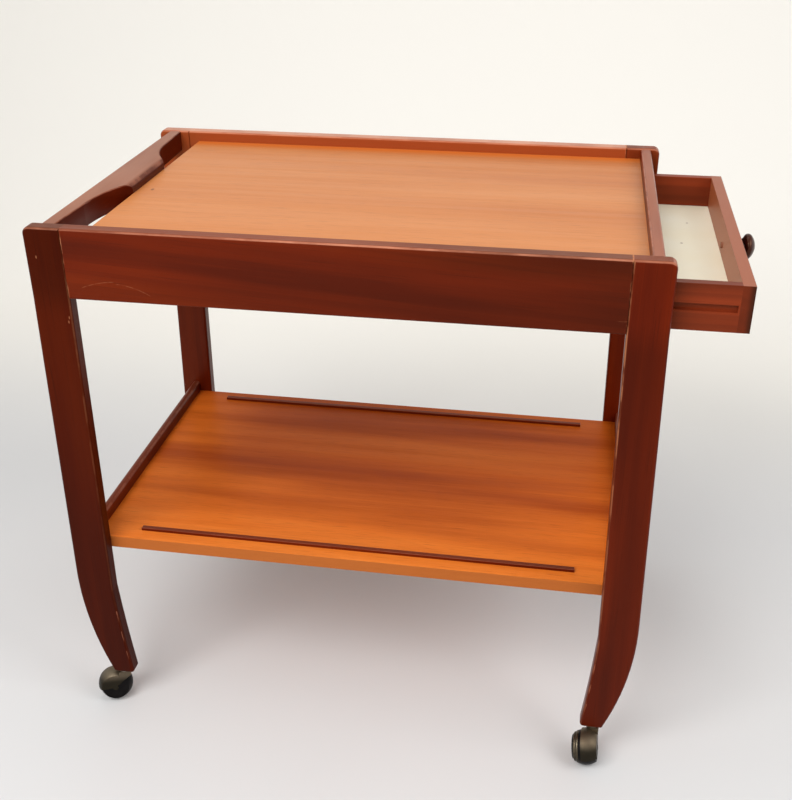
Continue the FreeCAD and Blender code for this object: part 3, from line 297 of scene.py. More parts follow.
def stained(name, along, shift, pith=(0.05, -0.04), lean=0.02, figure=1.0, tone=1.0, slant=0.0):
    wood = Wood(name, along, pith, lean, shift, slant)
    rings = wood.rings(per_metre=62)
    broad = wood.streaks(across=17, along=1.5, detail=2.0)
    fine = wood.streaks(across=260, along=2.6)
    wood.colour = wood.ramp(broad, (0.34, STAIN_DARK), (0.50, STAIN), (0.70, STAIN_WARM))
    wood.tint(wood.calc("MULTIPLY", rings, 0.26 * figure), STAIN_DARK)
    wood.tint(wood.fade(fine, 0.52, 0.80, end=0.30), STAIN_DARK)
    wood.tint(wood.fade(fine, 0.50, 0.22, end=0.26), STAIN_WARM)
    wood.open_pores = wood.pores(across=1100, along=12)
    wood.tint(wood.calc("MULTIPLY", wood.open_pores, 0.30), STAIN_PORE)
    wood.shade((tone, tone, tone, 1))
    return wood


print("stain from", [round(part, 3) for part in STAIN_DARK[:3]], "to",
      [round(part, 3) for part in STAIN_WARM[:3]])

# %% [markdown]
# ## Varnish, where hands have rubbed it, with painted sheen and highlights
#
# Years of use have made the level tops dull and pale. That pale colour is also painted sheen,
# the reflection of a pale room that a level top shows, and the rounded edges get a paler
# painted highlight with a little rubbed wear. Painting that by hand would take a mask for each
# piece. The surface's own direction gives it at once: a top faces straight up, and a rounded
# edge is where the surface turns from up to sideways, which is where the upward part times the
# sideways part is largest. Slow noise breaks both up into patches.

# %% Varnish with rubbed tops, painted sheen and painted edge highlights
# The tops' pale colour is rubbed wear and painted sheen; the rims' is a painted highlight.
RUBBED_AND_SHEEN = linear(150, 92, 66)
RIM_HIGHLIGHT_AND_WEAR = linear(196, 128, 100)
# Pale wear, which on the front legs' inner edges also carries a painted highlight.
WORN_AND_EDGE_HIGHLIGHT = linear(192, 126, 88)
RIM_HIGHLIGHT_SHARE, GLOSS = 0.55, 0.22


def finish_stained(wood, wear_and_edge_highlight=None, rubbed_and_sheen=0.0, rubbed_and_sheen_colour=RUBBED_AND_SHEEN, rim=RIM_HIGHLIGHT_SHARE, gloss=GLOSS):
    """Varnish over stain; wear shows paler wood, a rubbed top is dull with painted sheen, and edges
    get a painted highlight.
    """
    smears = wood.streaks(across=40, along=4.0, detail=2.0)
    roughness = wood.fade(smears, 0.3, 0.7, start=0.30, end=0.40)
    upward = wood.facing()[2]
    if rubbed_and_sheen:
        # Painted sheen with rubbed wear: level tops are tinted paler in patches.
        cloud = wood.fade(wood.patches((14, 5, 14)), 0.25, 0.7, start=0.6, end=1.0)
        top = wood.product(wood.fade(upward, 0.80, 0.99), cloud)
        wood.tint(wood.calc("MULTIPLY", top, rubbed_and_sheen), rubbed_and_sheen_colour)
        roughness = wood.calc("MULTIPLY_ADD", top, 0.08, roughness)
    level = wood.calc("MULTIPLY_ADD", upward, wood.calc("MULTIPLY", upward, -1.0), 1.0)
    sideways = wood.calc("SQRT", wood.calc("MAXIMUM", 0.0, level))
    # Painted highlight with a little rubbed wear: rounded edges are tinted paler.
    round_over = wood.fade(wood.calc("MULTIPLY", upward, sideways), 0.30, 0.47)
    patchy = wood.patches((11, 40, 40), detail=4.0, roughness=0.7)
    patchy = wood.fade(patchy, 0.36, 0.60, start=0.35, end=1.0)
    wood.tint(wood.product(round_over, patchy, rim), RIM_HIGHLIGHT_AND_WEAR)
    # Wear is tinted pale; on the front legs it includes the painted inner-edge highlight.
    if wear_and_edge_highlight is not None:
        wood.tint(wear_and_edge_highlight, WORN_AND_EDGE_HIGHLIGHT)
        roughness = wood.calc("MULTIPLY_ADD", wear_and_edge_highlight, 0.25, roughness)
    wood.polish(roughness, specular=gloss)


print("varnish recipe ready")

# %% [markdown]
# ## Opened joints, chips and scuffed feet
#
# Where a rail meets a leg the glue line has opened, and the varnish along it has broken into a
# thin light line. A few chips follow the rounded edges, and the feet are scuffed all round. A
# real gap in the mesh would be far too wide at this size, so these are masks at the landmarks,
# each broken up by noise so that no line is drawn with a ruler.

# %% Masks for joints, edges and feet
JOINT_WAVE = 0.0012    # how far a joint line wanders
JOINT_WIDE, JOINT_THIN = 0.0012, 0.0004    # from its middle, where it ends and where it is full


def joint_wear(wood, middle_y):
    """Pale marks in the joints between rail and leg, along the rounded edges and at the foot."""
    x, y, z = wood.axes()
    breakup = wood.patches((60, 60, 26), detail=3.0, roughness=0.6)
    waved = wood.calc("MULTIPLY_ADD", breakup, JOINT_WAVE, x)
    lines = []
    for joint in JOINTS_X:
        off = wood.calc("ABSOLUTE", wood.calc("SUBTRACT", waved, joint + JOINT_WAVE / 2))
        at_rail = wood.fade(z, RAIL_LOW.z - 0.002, RAIL_LOW.z)
        lines.append(wood.product(wood.fade(off, JOINT_WIDE, JOINT_THIN), at_rail))
    marks = wood.product(wood.highest(*lines), wood.fade(breakup, 0.46, 0.60, end=0.8))
    off = wood.calc("ABSOLUTE", wood.calc("SUBTRACT", y, middle_y))
    chips = wood.patches((70, 160, 44), detail=2.0)
    rim = wood.product(wood.fade(off, STOCK * 0.38, STOCK * 0.44),
                       wood.fade(off, STOCK * 0.499, STOCK * 0.485),
                       wood.fade(chips, 0.73, 0.78, end=0.5),
                       wood.fade(z, RAIL_HIGH.z - 0.006, RAIL_HIGH.z - 0.016))
    scuffs = wood.patches((160, 90, 60), detail=2.0)
    foot = wood.product(wood.fade(z, FOOT_Z + 0.0022, FOOT_Z + 0.0008),
                        wood.fade(scuffs, 0.46, 0.56, end=0.8))
    return wood.highest(marks, wood.highest(rim, foot))


def inner_edge(wood, way, strength):
    """The rounded front edge of a leg that faces the other leg, a thin pale line of painted
    highlight and rubbed wear.
    """
    aside, ahead = wood.facing()[:2]
    corner = wood.product(aside, ahead, -way)
    edge_breaks = wood.patches((40, 40, 26))
    return wood.product(wood.fade(corner, 0.30, 0.46), wood.fade(ahead, 0.0, -0.3),
                        wood.fade(wood.axes()[2], SHELF_LOW.z, RAIL_LOW.z, start=0.45, end=1.0),
                        wood.fade(edge_breaks, 0.40, 0.58, start=0.15 * strength, end=strength))


print("wear masks ready")

# %% [markdown]
# ## Scratches
#
# Three faint scratches curve over the front rail, as a ring or a key leaves them. Stretched noise
# gives lines too, but they wiggle, and a real scratch is one sweep of the hand. So each is an arc
# of a circle through three places, thin, pale and tapered at both ends.

# %% Scratches drawn as arcs
RAIL_SCRATCHES = (((0.0213, 0.0170), (0.0400, 0.0227), (0.0575, 0.0254)),
                  ((0.0654, 0.0230), (0.0850, 0.0191), (0.1022, 0.0118)),
                  ((0.6560, 0.0158), (0.6700, 0.0163), (0.6830, 0.0172)))
SCRATCH_WIDTH, SCRATCH_TAPER, SCRATCH_STRENGTH = 0.0006, 0.004, 0.22


def circle_through(start, middle, end):
    """Centre and radius of the circle through three points."""
    (ax, ay), (bx, by), (cx, cy) = start, middle, end
    twice = 2 * (ax * (by - cy) + bx * (cy - ay) + cx * (ay - by))
    a, b, c = ax * ax + ay * ay, bx * bx + by * by, cx * cx + cy * cy
    x = (a * (by - cy) + b * (cy - ay) + c * (ay - by)) / twice
    y = (a * (cx - bx) + b * (ax - cx) + c * (bx - ax)) / twice
    return x, y, math.hypot(ax - x, ay - y)


def from_rail(x, z):
    """A place on the front rail, from its lower left corner, in metres."""
    return RAIL_LOW.x + x, RAIL_LOW.z + z


def scratch(wood, places):
    """A thin pale line on the front face, an arc through three places on the rail."""
    start, middle, end = (from_rail(*place) for place in places)
    x, z, radius = circle_through(start, middle, end)
    parts = wood.axes()
    flat = wood.vector("SUBTRACT", wood.place, (x, 0.0, z))
    flat = wood.vector("MULTIPLY", flat, (1.0, 0.0, 1.0))
    off = wood.calc("ABSOLUTE", wood.calc("SUBTRACT", wood.vector("LENGTH", flat), radius))
    masks = [wood.fade(off, SCRATCH_WIDTH, SCRATCH_WIDTH * 0.3)]
    for part, first, last in ((parts[0], start[0], end[0]), (parts[2], start[1], end[1])):
        low, high = min(first, last) - SCRATCH_TAPER, max(first, last) + SCRATCH_TAPER
        masks.append(wood.fade(part, low, low + SCRATCH_TAPER))
        masks.append(wood.fade(part, high, high - SCRATCH_TAPER))
    masks.append(wood.fade(parts[1], RAIL_LOW.y + 0.002, RAIL_LOW.y + 0.0004))
    broken = wood.noise(wood.place, scale=130, detail=2.0)
    masks.append(wood.fade(broken, 0.36, 0.56, start=0.2, end=1.0))
    return wood.product(*masks, SCRATCH_STRENGTH)


print(len(RAIL_SCRATCHES), "scratches placed")

# %% [markdown]
# ## The two long rails
#
# The front rail shows its outside. It is darker toward its right end, along its lower edge and
# high up at the right. The back rail shows its inside and its top, both paler: the top carries
# painted sheen and rubbed wear, and the inside a warmer brown that is partly a less stained face
# and partly painted bounce light from the orange top. Both are the same recipe with other
# numbers: one material for both would need masks for the side it is on, and two keep each short.

# %% Dress the long rails
RAIL_TONES = {"front": 0.94, "back": 1.25}
# Painted sheen with some rubbed wear, for the pale tops of the back rail and back left leg.
PALE_TOP = linear(208, 152, 128)
PALE_INSIDE = linear(156, 74, 36)
RAIL_MIDDLES = {}


def pale_inside(wood, share=0.75):
    """The tray side is tinted warmer and paler than the outside: a less stained face, and painted
    bounce light.
    """
    # Painted bounce light, with a less stained face: faces toward the tray are tinted warmer.
    inner = wood.fade(wood.facing()[1], -0.5, -0.9, end=share)
    at_tray = wood.fade(wood.axes()[2], RAIL_LOW.z, RAIL_LOW.z + 0.03)
    wood.tint(wood.product(inner, at_tray), PALE_INSIDE)


def shade_front(wood):
    """Darker toward the right end, along the lower edge, and high up on the right."""
    x, _, z = wood.axes()
    wood.shade(wood.fade(x, 0.02, 0.24, start=0.93, end=0.78))
    wood.shade(wood.fade(z, RAIL_LOW.z + 0.010, RAIL_LOW.z + 0.050, start=0.86, end=1.0))
    high = wood.product(wood.fade(z, RAIL_HIGH.z - 0.040, RAIL_HIGH.z - 0.010),
                        wood.fade(x, -0.12, 0.16))
    high = wood.highest(high, wood.fade(x, 0.18, 0.30, end=0.6))
    wood.shade(wood.calc("MULTIPLY_ADD", high, -0.40, 1.0))


for side, tone in RAIL_TONES.items():
    low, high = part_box(f"long_rail_{side}")
    middle = RAIL_MIDDLES[side] = (low.y + high.y) / 2
    rail = stained(f"stained_rail_{side}", "X", shift=3.1 + middle, pith=(middle - 0.02, 0.02),
                   lean=0.012, figure=0.8, tone=tone, slant=0.06)
    wear_and_edge_highlight = joint_wear(rail, middle)
    if side == "front":
        wear_and_edge_highlight = rail.highest(wear_and_edge_highlight, *[scratch(rail, places) for places in RAIL_SCRATCHES])
        shade_front(rail)
        # Painted highlight along the rounded top edge, weak at the left end and stronger to the
        # right.
        rim = rail.fade(rail.axes()[0], RAIL_LOW.x + 0.02, RAIL_LOW.x + 0.16, start=0.25, end=0.75)
        finish_stained(rail, wear_and_edge_highlight, rubbed_and_sheen=0.4, rim=rim)
    else:
        # The back rail's inside gets painted bounce light, and its top painted sheen and highlight.
        pale_inside(rail)
        finish_stained(rail, wear_and_edge_highlight, rubbed_and_sheen=0.9, rubbed_and_sheen_colour=PALE_TOP, rim=0.8)
    rail.dress(f"long_rail_{side}")
print("long rails at y =", {side: round(middle, 4) for side, middle in RAIL_MIDDLES.items()})

# %% [markdown]
# ## The four legs
#
# The four legs differ in tone, also between foot and rail height: partly stain, partly painted
# light and shade, as the front left leg is painted darker and the front right one lighter near
# the top. The front ones have a pale inner edge, a painted highlight with a little rubbed wear,
# and a few specks, and the back left one is paler where it faces the tray, as a less stained face
# and painted bounce light. They could be four recipes, but one recipe and a table of what differs
# is easier to read and to change.

# %% Dress the legs
# Two tones, below and at the rails, are partly stain and partly painted light and shade.
LEGS = {("front", "left"): dict(tones=(0.46, 0.34), gloss=0.10, edge=0.15),
        ("front", "right"): dict(tones=(0.80, 1.14), gloss=0.16, edge=0.6),
        ("back", "left"): dict(tones=(0.64, 1.2), inside_share=0.75, rubbed_and_sheen=0.8, top=PALE_TOP, rim=0.7),
        ("back", "right"): dict(tones=(0.9, 1.0), gloss=0.16, inside_share=0.3)}
SPECK_PLACES = ((-0.0342, 0.0520), (-0.0008, -0.0106), (-0.0040, -0.0250), (-0.0054, -0.0309))
SPECK_RADIUS, SPECK_SHAPE, SPECK_SHARE = 0.0018, (1.8, 1.0, 0.7), 0.4


def shade_and_stain_by_height(wood, below, above):
    """Stain depth with painted light and shade: one tone below the rails and another at their
    height.
    """
    height = wood.axes()[2]
    wood.shade(wood.fade(height, RAIL_LOW.z - 0.03, RAIL_LOW.z + 0.02, start=below, end=above))


for (side, end), leg in LEGS.items():
    middle = RAIL_MIDDLES[side]
    shift = 1.3 + 4 * middle + (0.7 if end == "left" else 0.0)
    post = stained(f"stained_leg_{side}_{end}", "Z", shift, pith=(0.03, -0.02), lean=0.03)
    # Painted light and shade with stain depth, set per leg below and at the rails.
    shade_and_stain_by_height(post, *leg["tones"])
    wear_and_edge_highlight = joint_wear(post, middle)
    # The inner edge of a front leg: a painted highlight with a little rubbed wear.
    if "edge" in leg:
        wear_and_edge_highlight = post.highest(wear_and_edge_highlight, inner_edge(post, 1 if end == "left" else -1, leg["edge"]))
        for place in SPECK_PLACES:
            x, z = from_rail(*place)
            mark = post.speck((x, RAIL_LOW.y, z), SPECK_RADIUS, SPECK_SHAPE)
            wear_and_edge_highlight = post.highest(wear_and_edge_highlight, post.product(mark, SPECK_SHARE))
    # Painted bounce light with a less stained face on the side toward the tray.
    if "inside_share" in leg:
        pale_inside(post, leg["inside_share"])
    finish_stained(post, wear_and_edge_highlight, leg.get("rubbed_and_sheen", 0.4), leg.get("top", RUBBED_AND_SHEEN),
                   leg.get("rim", RIM_HIGHLIGHT_SHARE), leg.get("gloss", GLOSS))
    post.dress(f"leg_{side}_{end}")
print(len(LEGS), "legs stained")

# %% [markdown]
# ## Boards across, and the strips on the shelf
#
# The handle board is rubbed palest, since every push goes through it, and the cross rail over the
# drawer comes next; both pale tops also carry painted sheen. The shelf's end rails and its thin
# gallery strips are darker and hardly touched, with a little painted sheen on top. Each is the
# stain recipe again, with the grain turned along the board and its own tone.

# %% Dress the boards across and the strips
# The pale tops below are rubbed wear with painted sheen.
handle = stained("stained_handle", "Y", shift=5.2, tone=0.62)
finish_stained(handle, rubbed_and_sheen=0.9, rubbed_and_sheen_colour=linear(160, 111, 90), rim=0.35, gloss=0.1)
handle.dress("handle_board")
cross = stained("stained_cross", "Y", shift=6.9)
finish_stained(cross, rubbed_and_sheen=0.8, rubbed_and_sheen_colour=linear(160, 98, 74))
cross.dress("cross_rail")
crosswise = stained("stained_crosswise", "Y", shift=6.4, tone=0.72)
finish_stained(crosswise, rubbed_and_sheen=0.15, rim=0.25)
crosswise.dress("shelf_rail_left", "shelf_rail_right")
lengthwise = stained("stained_strip", "X", shift=7.7, tone=0.85)
finish_stained(lengthwise, rubbed_and_sheen=0.2, rubbed_and_sheen_colour=linear(132, 68, 34), rim=0.2)
lengthwise.dress("gallery_strip_front", "gallery_strip_back")
print("boards across:", [wood.material.name for wood in (handle, cross, crosswise, lengthwise)])

# %% [markdown]
# ## Teak veneer
#
# The top panel and the shelf are veneered boards. Veneer is a thin slice, so its figure is calmer
# than that of solid wood: fine, nearly straight lines with slow bands of darker colour, all along
# the trolley. The same solid wood is used with rings far from the pith, where they run almost
# straight.

# %% Veneer recipe
VENEER_PITH, VENEER_LEAN = (0.9, -0.35), 0.012
VENEER_PORES, VENEER_WAVE = 0.00003, 0.00002


def veneered(name, pale, mid, deep, shift, band):
    wood = Wood(name, "X", VENEER_PITH, VENEER_LEAN, shift)
    rings = wood.rings(per_metre=120, wobble=0.02)
    stretched = wood.scaled(wood.grain, (0.9, 11, 11))
    broad = wood.noise(stretched, scale=1.0, detail=3.0, roughness=0.55)
    bands = wood.streaks(across=60, along=1.6, detail=3.0)
    fine = wood.streaks(across=420, along=6.0, detail=3.0)
    wood.colour = wood.ramp(broad, (0.32, deep), (0.50, mid), (0.68, pale))
    wood.tint(wood.fade(bands, 0.50, 0.78, end=0.55 * band), deep)
    wood.tint(wood.calc("MULTIPLY", rings, 0.22 * band), deep)
    wood.tint(wood.fade(fine, 0.50, 0.80, end=0.35 * band), deep)
    wood.tint(wood.fade(fine, 0.48, 0.25, end=0.25), pale)
    wood.open_pores = wood.pores(across=1300, along=30)
    dark = tuple(0.45 * part for part in deep[:3]) + (1,)
    wood.tint(wood.calc("MULTIPLY", wood.open_pores, 0.40), dark)
    wood.dullness = wood.fade(bands, 0.3, 0.7, start=0.34, end=0.44)
    return wood


print("veneer recipe ready")

# %% [markdown]
# ## The top panel
#
# The top has bleached evenly to a pale, pinkish orange. A warmer orange border runs beside the
# back rail, and a fainter one along the front: partly veneer that the rails kept from bleaching,
# partly a painted reflection of the rails. A small dark nick near the handle goes through the
# veneer. Both are masks measured from the panel's own box.

# %% Dress the top panel
PANEL_LOW, PANEL_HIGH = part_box("top_panel")
TEAK_TOP = (linear(197, 126, 72), linear(191, 119, 66), linear(181, 106, 56))
BORDER_TONE_AND_REFLECTION, NICK_DARK = linear(206, 104, 34), linear(86, 40, 18)
NICK = PANEL_LOW + Vector((0.019, 0.1906, PANEL_HIGH.z - PANEL_LOW.z))

top = veneered("teak_top", *TEAK_TOP, shift=2.0, band=0.28)
across = top.axes()[1]
# Warmer borders by the rails: partly less bleached veneer, partly painted reflection.
border_tone_and_reflection = top.highest(top.fade(across, PANEL_HIGH.y - 0.030, PANEL_HIGH.y - 0.004),
                     top.fade(across, PANEL_LOW.y + 0.014, PANEL_LOW.y + 0.002, end=0.5))
top.tint(top.product(border_tone_and_reflection, 0.75), BORDER_TONE_AND_REFLECTION)
top.tint(top.product(top.speck(NICK, 0.0028, (1.0, 0.55, 1.0)), 0.7), NICK_DARK)
top.polish(top.dullness, VENEER_PORES, wave=VENEER_WAVE)
top.dress("top_panel")
print("nick at", [round(part, 4) for part in NICK])

# %% [markdown]
# ## The shelf
#
# The shelf lies in the shade of the tray, so it has kept its deep orange and its darker bands.
# Toward the back it carries a painted shadow of the tray, weaker at its left end, and its
# front edge is a strip of plainer wood glued on to hide the board's core. One more veneer could be
# drawn for that strip, but a tint on all that faces forward is enough.

# %% Dress the shelf
TEAK_SHELF = (linear(230, 130, 52), linear(212, 109, 34), linear(170, 75, 17))
# The colour multiplied in for the painted shadow at the back.
SHELF_SHADOW_TINT = (0.66, 0.53, 0.36, 1)
LIPPING = linear(174, 97, 46)

shelf = veneered("teak_shelf", *TEAK_SHELF, shift=4.0, band=0.55)
along, across = shelf.axes()[:2]
# Painted shadow of the tray: darker toward the back, weaker at the left end.
behind = shelf.calc("MULTIPLY_ADD", shelf.patches((5, 16, 5)), 0.10, across)
shadow_share_by_end = shelf.fade(along, SHELF_LOW.x + 0.16, SHELF_LOW.x + 0.02, start=1.0, end=0.4)
shelf.shade(SHELF_SHADOW_TINT, shelf.product(shelf.fade(behind, -0.14, 0.10), shadow_share_by_end))
shelf.tint(shelf.fade(shelf.facing()[1], -0.5, -0.9, end=0.85), LIPPING)
shelf.polish(shelf.dullness, VENEER_PORES, specular=0.09, wave=VENEER_WAVE)
shelf.dress("shelf_panel")
print("shelf veneered from x =", round(SHELF_LOW.x, 4))

# %% [markdown]
# ## Plain wood inside
#
# The drawer's sides and back are a plainer, lighter red-brown wood. The battens, runners and
# dowels behind it were never stained. All of them are the solid wood again with a simple colour
# ramp, since nobody looks at them for long, and a recipe with fewer layers renders faster.

# %% Dress the drawer's sides and back, battens, runners and dowels
DRAWER_PALE, DRAWER_DEEP = linear(134, 50, 22), linear(84, 28, 12)


def plain_wood(name, along, pale, deep, shift):
    wood = Wood(name, along, pith=(0.3, -0.2), lean=0.02, shift=shift)
    rings = wood.rings(per_metre=90)
    fine = wood.streaks(across=260, along=6.0)
    broad = wood.streaks(across=22, along=1.5, detail=2.0)
    wood.colour = wood.ramp(broad, (0.3, deep), (0.7, pale))
    wood.tint(wood.calc("MULTIPLY", rings, 0.3), deep)
    wood.tint(wood.fade(fine, 0.5, 0.8, end=0.4), deep)
    wood.open_pores = wood.pores(across=1000, along=26)
    return wood


def dress_plain(wood, roughness, *names):
    wood.polish(roughness)
    wood.dress(*names)
    print(wood.material.name, "on", len(names), "pieces")


sides = plain_wood("drawer_side_wood", "X", DRAWER_PALE, DRAWER_DEEP, shift=6.1)
dress_plain(sides, 0.42, "drawer_side_front", "drawer_side_back")
rear = plain_wood("drawer_back_wood", "Y", DRAWER_PALE, DRAWER_DEEP, shift=8.3)
dress_plain(rear, 0.42, "drawer_back")
raw = plain_wood("raw_wood", "X", linear(176, 120, 76), linear(140, 88, 52), shift=9.4)
dress_plain(raw, 0.6, "batten_front", "batten_back", "runner_front", "runner_back")
dowels = plain_wood("dowel_wood", "X", linear(190, 150, 104), linear(160, 116, 74), shift=1.9)
dress_plain(dowels, 0.6, "leg_dowels", "board_dowels", "shelf_rail_dowels", "shelf_dowels",
            "drawer_dowels")

# %% [markdown]
# ## The drawer front
#
# Its top and inner face are bare and greyish, its ends are dark end grain, and its outside, with
# the last few millimetres of the other faces, carries a nearly black stain that ran over the
# edge. Cutting the board into pieces with a material each would break one real piece into
# several, so the surface's direction picks the look and the material stays one.

# %% Dress the drawer front
FRONT_END_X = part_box("drawer_front")[1].x
BARE_TOP, BARE_INSIDE = linear(146, 82, 58), linear(170, 96, 60)
END_GRAIN, OUTER = linear(92, 30, 10), linear(44, 14, 6)
STAIN_START, STAIN_END = 0.0090, 0.0008

fronted = plain_wood("drawer_front_wood", "Y", DRAWER_PALE, DRAWER_DEEP, shift=7.3)
aside, ahead, upward = fronted.facing()
fronted.tint(fronted.fade(upward, 0.6, 0.95), BARE_TOP)
fronted.tint(fronted.fade(aside, -0.6, -0.95, end=0.75), BARE_INSIDE)
fronted.tint(fronted.fade(fronted.calc("ABSOLUTE", ahead), 0.6, 0.9, end=0.6), END_GRAIN)
outward = fronted.axes()[0]
spilled = fronted.fade(outward, FRONT_END_X - STAIN_START, FRONT_END_X - STAIN_END, end=0.9)
spilled = fronted.product(spilled, fronted.fade(upward, 0.9, 0.3))
fronted.tint(fronted.highest(spilled, fronted.fade(aside, 0.4, 0.8)), OUTER)
dress_plain(fronted, 0.4, "drawer_front")

# %% [markdown]
# ## The cream bottom and the knob
#
# The drawer's bottom is a thin board with a cream face that has picked up two specks, and the
# knob is a small dark turning, polished by fingers. The cream could be one flat colour, but a
# little cloud in colour and gloss keeps it from looking like plastic.

# %% Dress the drawer's bottom and knob
CREAM_LOW, CREAM_HIGH = linear(251, 245, 218), linear(253, 250, 230)
CREAM_SPECKS = ((0.0510, 0.0367, 0.0024), (0.0385, 0.1205, 0.0020))
SPECK_COLOUR = linear(120, 90, 60)
KNOB_DARK, KNOB_PALE = linear(36, 9, 5), linear(58, 16, 8)

cream = Finish("cream_face")
cloud = cream.noise(cream.place, scale=9)
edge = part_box("drawer_bottom")[1]
specks = cream.highest(*[cream.speck((edge.x - inward, y, edge.z), radius)
                         for inward, y, radius in CREAM_SPECKS])
colour = cream.ramp(cloud, (0.35, CREAM_LOW), (0.65, CREAM_HIGH))
colour = cream.blend(cream.product(specks, 0.7), colour, SPECK_COLOUR)
cream.feed(cream.shader, "Base Color", colour)
cream.feed(cream.shader, "Roughness", cream.fade(cloud, 0.3, 0.7, start=0.35, end=0.5))
grit = cream.noise(cream.place, scale=400, detail=2.0)
cream.feed(cream.shader, "Normal", cream.bump(grit, depth=0.00003, strength=0.4))
cream.dress("drawer_bottom")

knob = Wood("knob_wood", "Y", pith=(0.02, 0.01), lean=0.02, shift=2.2)
knob.colour = knob.ramp(knob.streaks(across=300, along=12.0), (0.3, KNOB_DARK), (0.7, KNOB_PALE))
knob.open_pores = knob.pores()
knob.polish(roughness=0.2, specular=0.35)
knob.dress("drawer_knob")
print(len(CREAM_SPECKS), "specks on the cream face, knob polished")

# %% [markdown]
# ## Metal and plastic recipes
#
# Each ball caster has a bronze-lacquered hood and rim ring, a black moulded wheel, and plain
# steel inside. A metal reads as metal through its reflections, so its colour is nearly plain and
# the interest lies in the roughness: brushed lines, dull lacquer and patches. Near the floor the
# lacquer is painted dark below two heights, as painted shade where the hood turns down toward
# the floor.

# %% Caster finishes
# Painted shade near the floor: its colour, and how much lacquer shows through it.
LOW_SHADE, LACQUER_IN_SHADE = linear(30, 28, 22), 0.12    # its colour, and how much lacquer shows through
DULLER = 0.14    # how much rougher the dull patches are


def metal(name, bright, dull, rough, metallic=1.0, patch=60.0, shade_heights=None):
    """Plated or lacquered metal; below two heights it is painted dark, as shade toward the floor.
    """
    made = Finish(name)
    cloud = made.noise(made.place, scale=patch, detail=4.0, roughness=0.6)
    colour = made.ramp(cloud, (0.35, dull), (0.65, bright))
    # Painted shade: darker below two heights, toward the floor.
    if shade_heights:
        colour = made.blend(made.fade(made.axes()[2], *shade_heights, LACQUER_IN_SHADE, 1.0), LOW_SHADE, colour)
    made.feed(made.shader, "Base Color", colour)
    made.shader.inputs["Metallic"].default_value = metallic
    made.feed(made.shader, "Roughness", made.fade(cloud, 0.3, 0.7, start=rough + DULLER, end=rough))
    lines = made.patches((300, 300, 2600), detail=2.0)
    made.feed(made.shader, "Normal", made.bump(lines, depth=0.00002, strength=0.35))
    return made


def moulded(name, colour, rough):
    """Black plastic with a little dust."""
    made = Finish(name)
    cloud = made.noise(made.place, scale=80, detail=3.0)
    dusty = tuple(part * 2.2 + 0.004 for part in colour[:3]) + (1,)
    dust = made.fade(cloud, 0.5, 0.8, end=0.5)
    made.feed(made.shader, "Base Color", made.blend(dust, colour, dusty))
    made.feed(made.shader, "Roughness", made.fade(cloud, 0.3, 0.7, start=rough, end=rough + 0.12))
    grit = made.noise(made.place, scale=900, detail=2.0)
    made.feed(made.shader, "Normal", made.bump(grit, depth=0.00002, strength=0.3))
    made.shader.inputs["Specular IOR Level"].default_value = 0.08
    return made


print("metal and moulding recipes ready")

# %% [markdown]
# ## The four casters, and the screws
#
# The four casters are alike, so each finish is made once and shared. Only the knob's screw has a
# finish of its own: a pale wood-like brown, partly rust and partly painted light that keeps its
# shaded head from showing dark.

# %% Dress the casters and the screws
bronze = metal("bronze_lacquer", linear(112, 101, 85), linear(96, 84, 69), rough=0.42, patch=24.0,
               shade_heights=(0.035, 0.049))
dark_bronze = metal("dark_bronze", linear(106, 97, 82), linear(80, 71, 58), rough=0.30,
                    shade_heights=(0.012, 0.032))
# Painted light on the knob's screw, with rust: pale enough that its shaded head doesn't show dark.
screw_rust_and_light = metal("screw_rust_and_light", linear(168, 108, 78), linear(136, 86, 62), rough=0.5, metallic=0.2)
steel = metal("plain_steel", linear(150, 142, 130), linear(110, 102, 92), rough=0.36)
black = moulded("black_moulding", linear(14, 12, 12), rough=0.3)
CORNERS = ("front_left", "front_right", "back_left", "back_right")
for corner in CORNERS:
    bronze.dress(f"caster_hood_{corner}")
    dark_bronze.dress(f"caster_rim_{corner}")
    steel.dress(f"caster_socket_{corner}", f"caster_stem_{corner}", f"caster_axle_{corner}")
    black.dress(f"caster_wheel_{corner}")
steel.dress("batten_screws", "panel_screws", "runner_screws")
screw_rust_and_light.dress("knob_screw")
print(len(CORNERS), "casters finished")

# %% [markdown]
# ## Floor and backdrop
#
# The trolley stands on a plain pale floor that sweeps up into a backdrop, as in a studio. Two
# planes would meet in a hard line, so a profile with a quarter circle is drawn out sideways. Seen
# by the camera the sweep glows an even white. For the light on the trolley it is an ordinary pale
# surface that takes the shadow, and so the white costs no contrast.

# %% Sweep
FLOOR_SIZE, SWEEP_START, SWEEP_RADIUS, WALL_TOP = 6.0, 1.1, 0.8, 4.5
SWEEP_STEPS = 12
FLOOR_GLOW, WALL_GLOW = 0.05, 0.21
FLOOR_LOW, FLOOR_HIGH, WALL = linear(206, 207, 209), linear(210, 211, 213), linear(231, 229, 224)
GLOW_COLOUR = linear(240, 236, 228)


def sweep_mesh():
    profile = [(-FLOOR_SIZE / 2, 0.0), (SWEEP_START, 0.0)]
    for step in range(1, SWEEP_STEPS + 1):
        angle = math.pi / 2 * step / SWEEP_STEPS
        profile.append((SWEEP_START + SWEEP_RADIUS * math.sin(angle),
                        SWEEP_RADIUS * (1 - math.cos(angle))))
    profile.append((SWEEP_START + SWEEP_RADIUS, WALL_TOP))
    corners = [(side * FLOOR_SIZE / 2, y, z) for y, z in profile for side in (-1, 1)]
    faces = [(2 * row, 2 * row + 1, 2 * row + 3, 2 * row + 2) for row in range(len(profile) - 1)]
    mesh = bpy.data.meshes.new("sweep")
    mesh.from_pydata(corners, [], faces)
    mesh.shade_smooth()
    return mesh


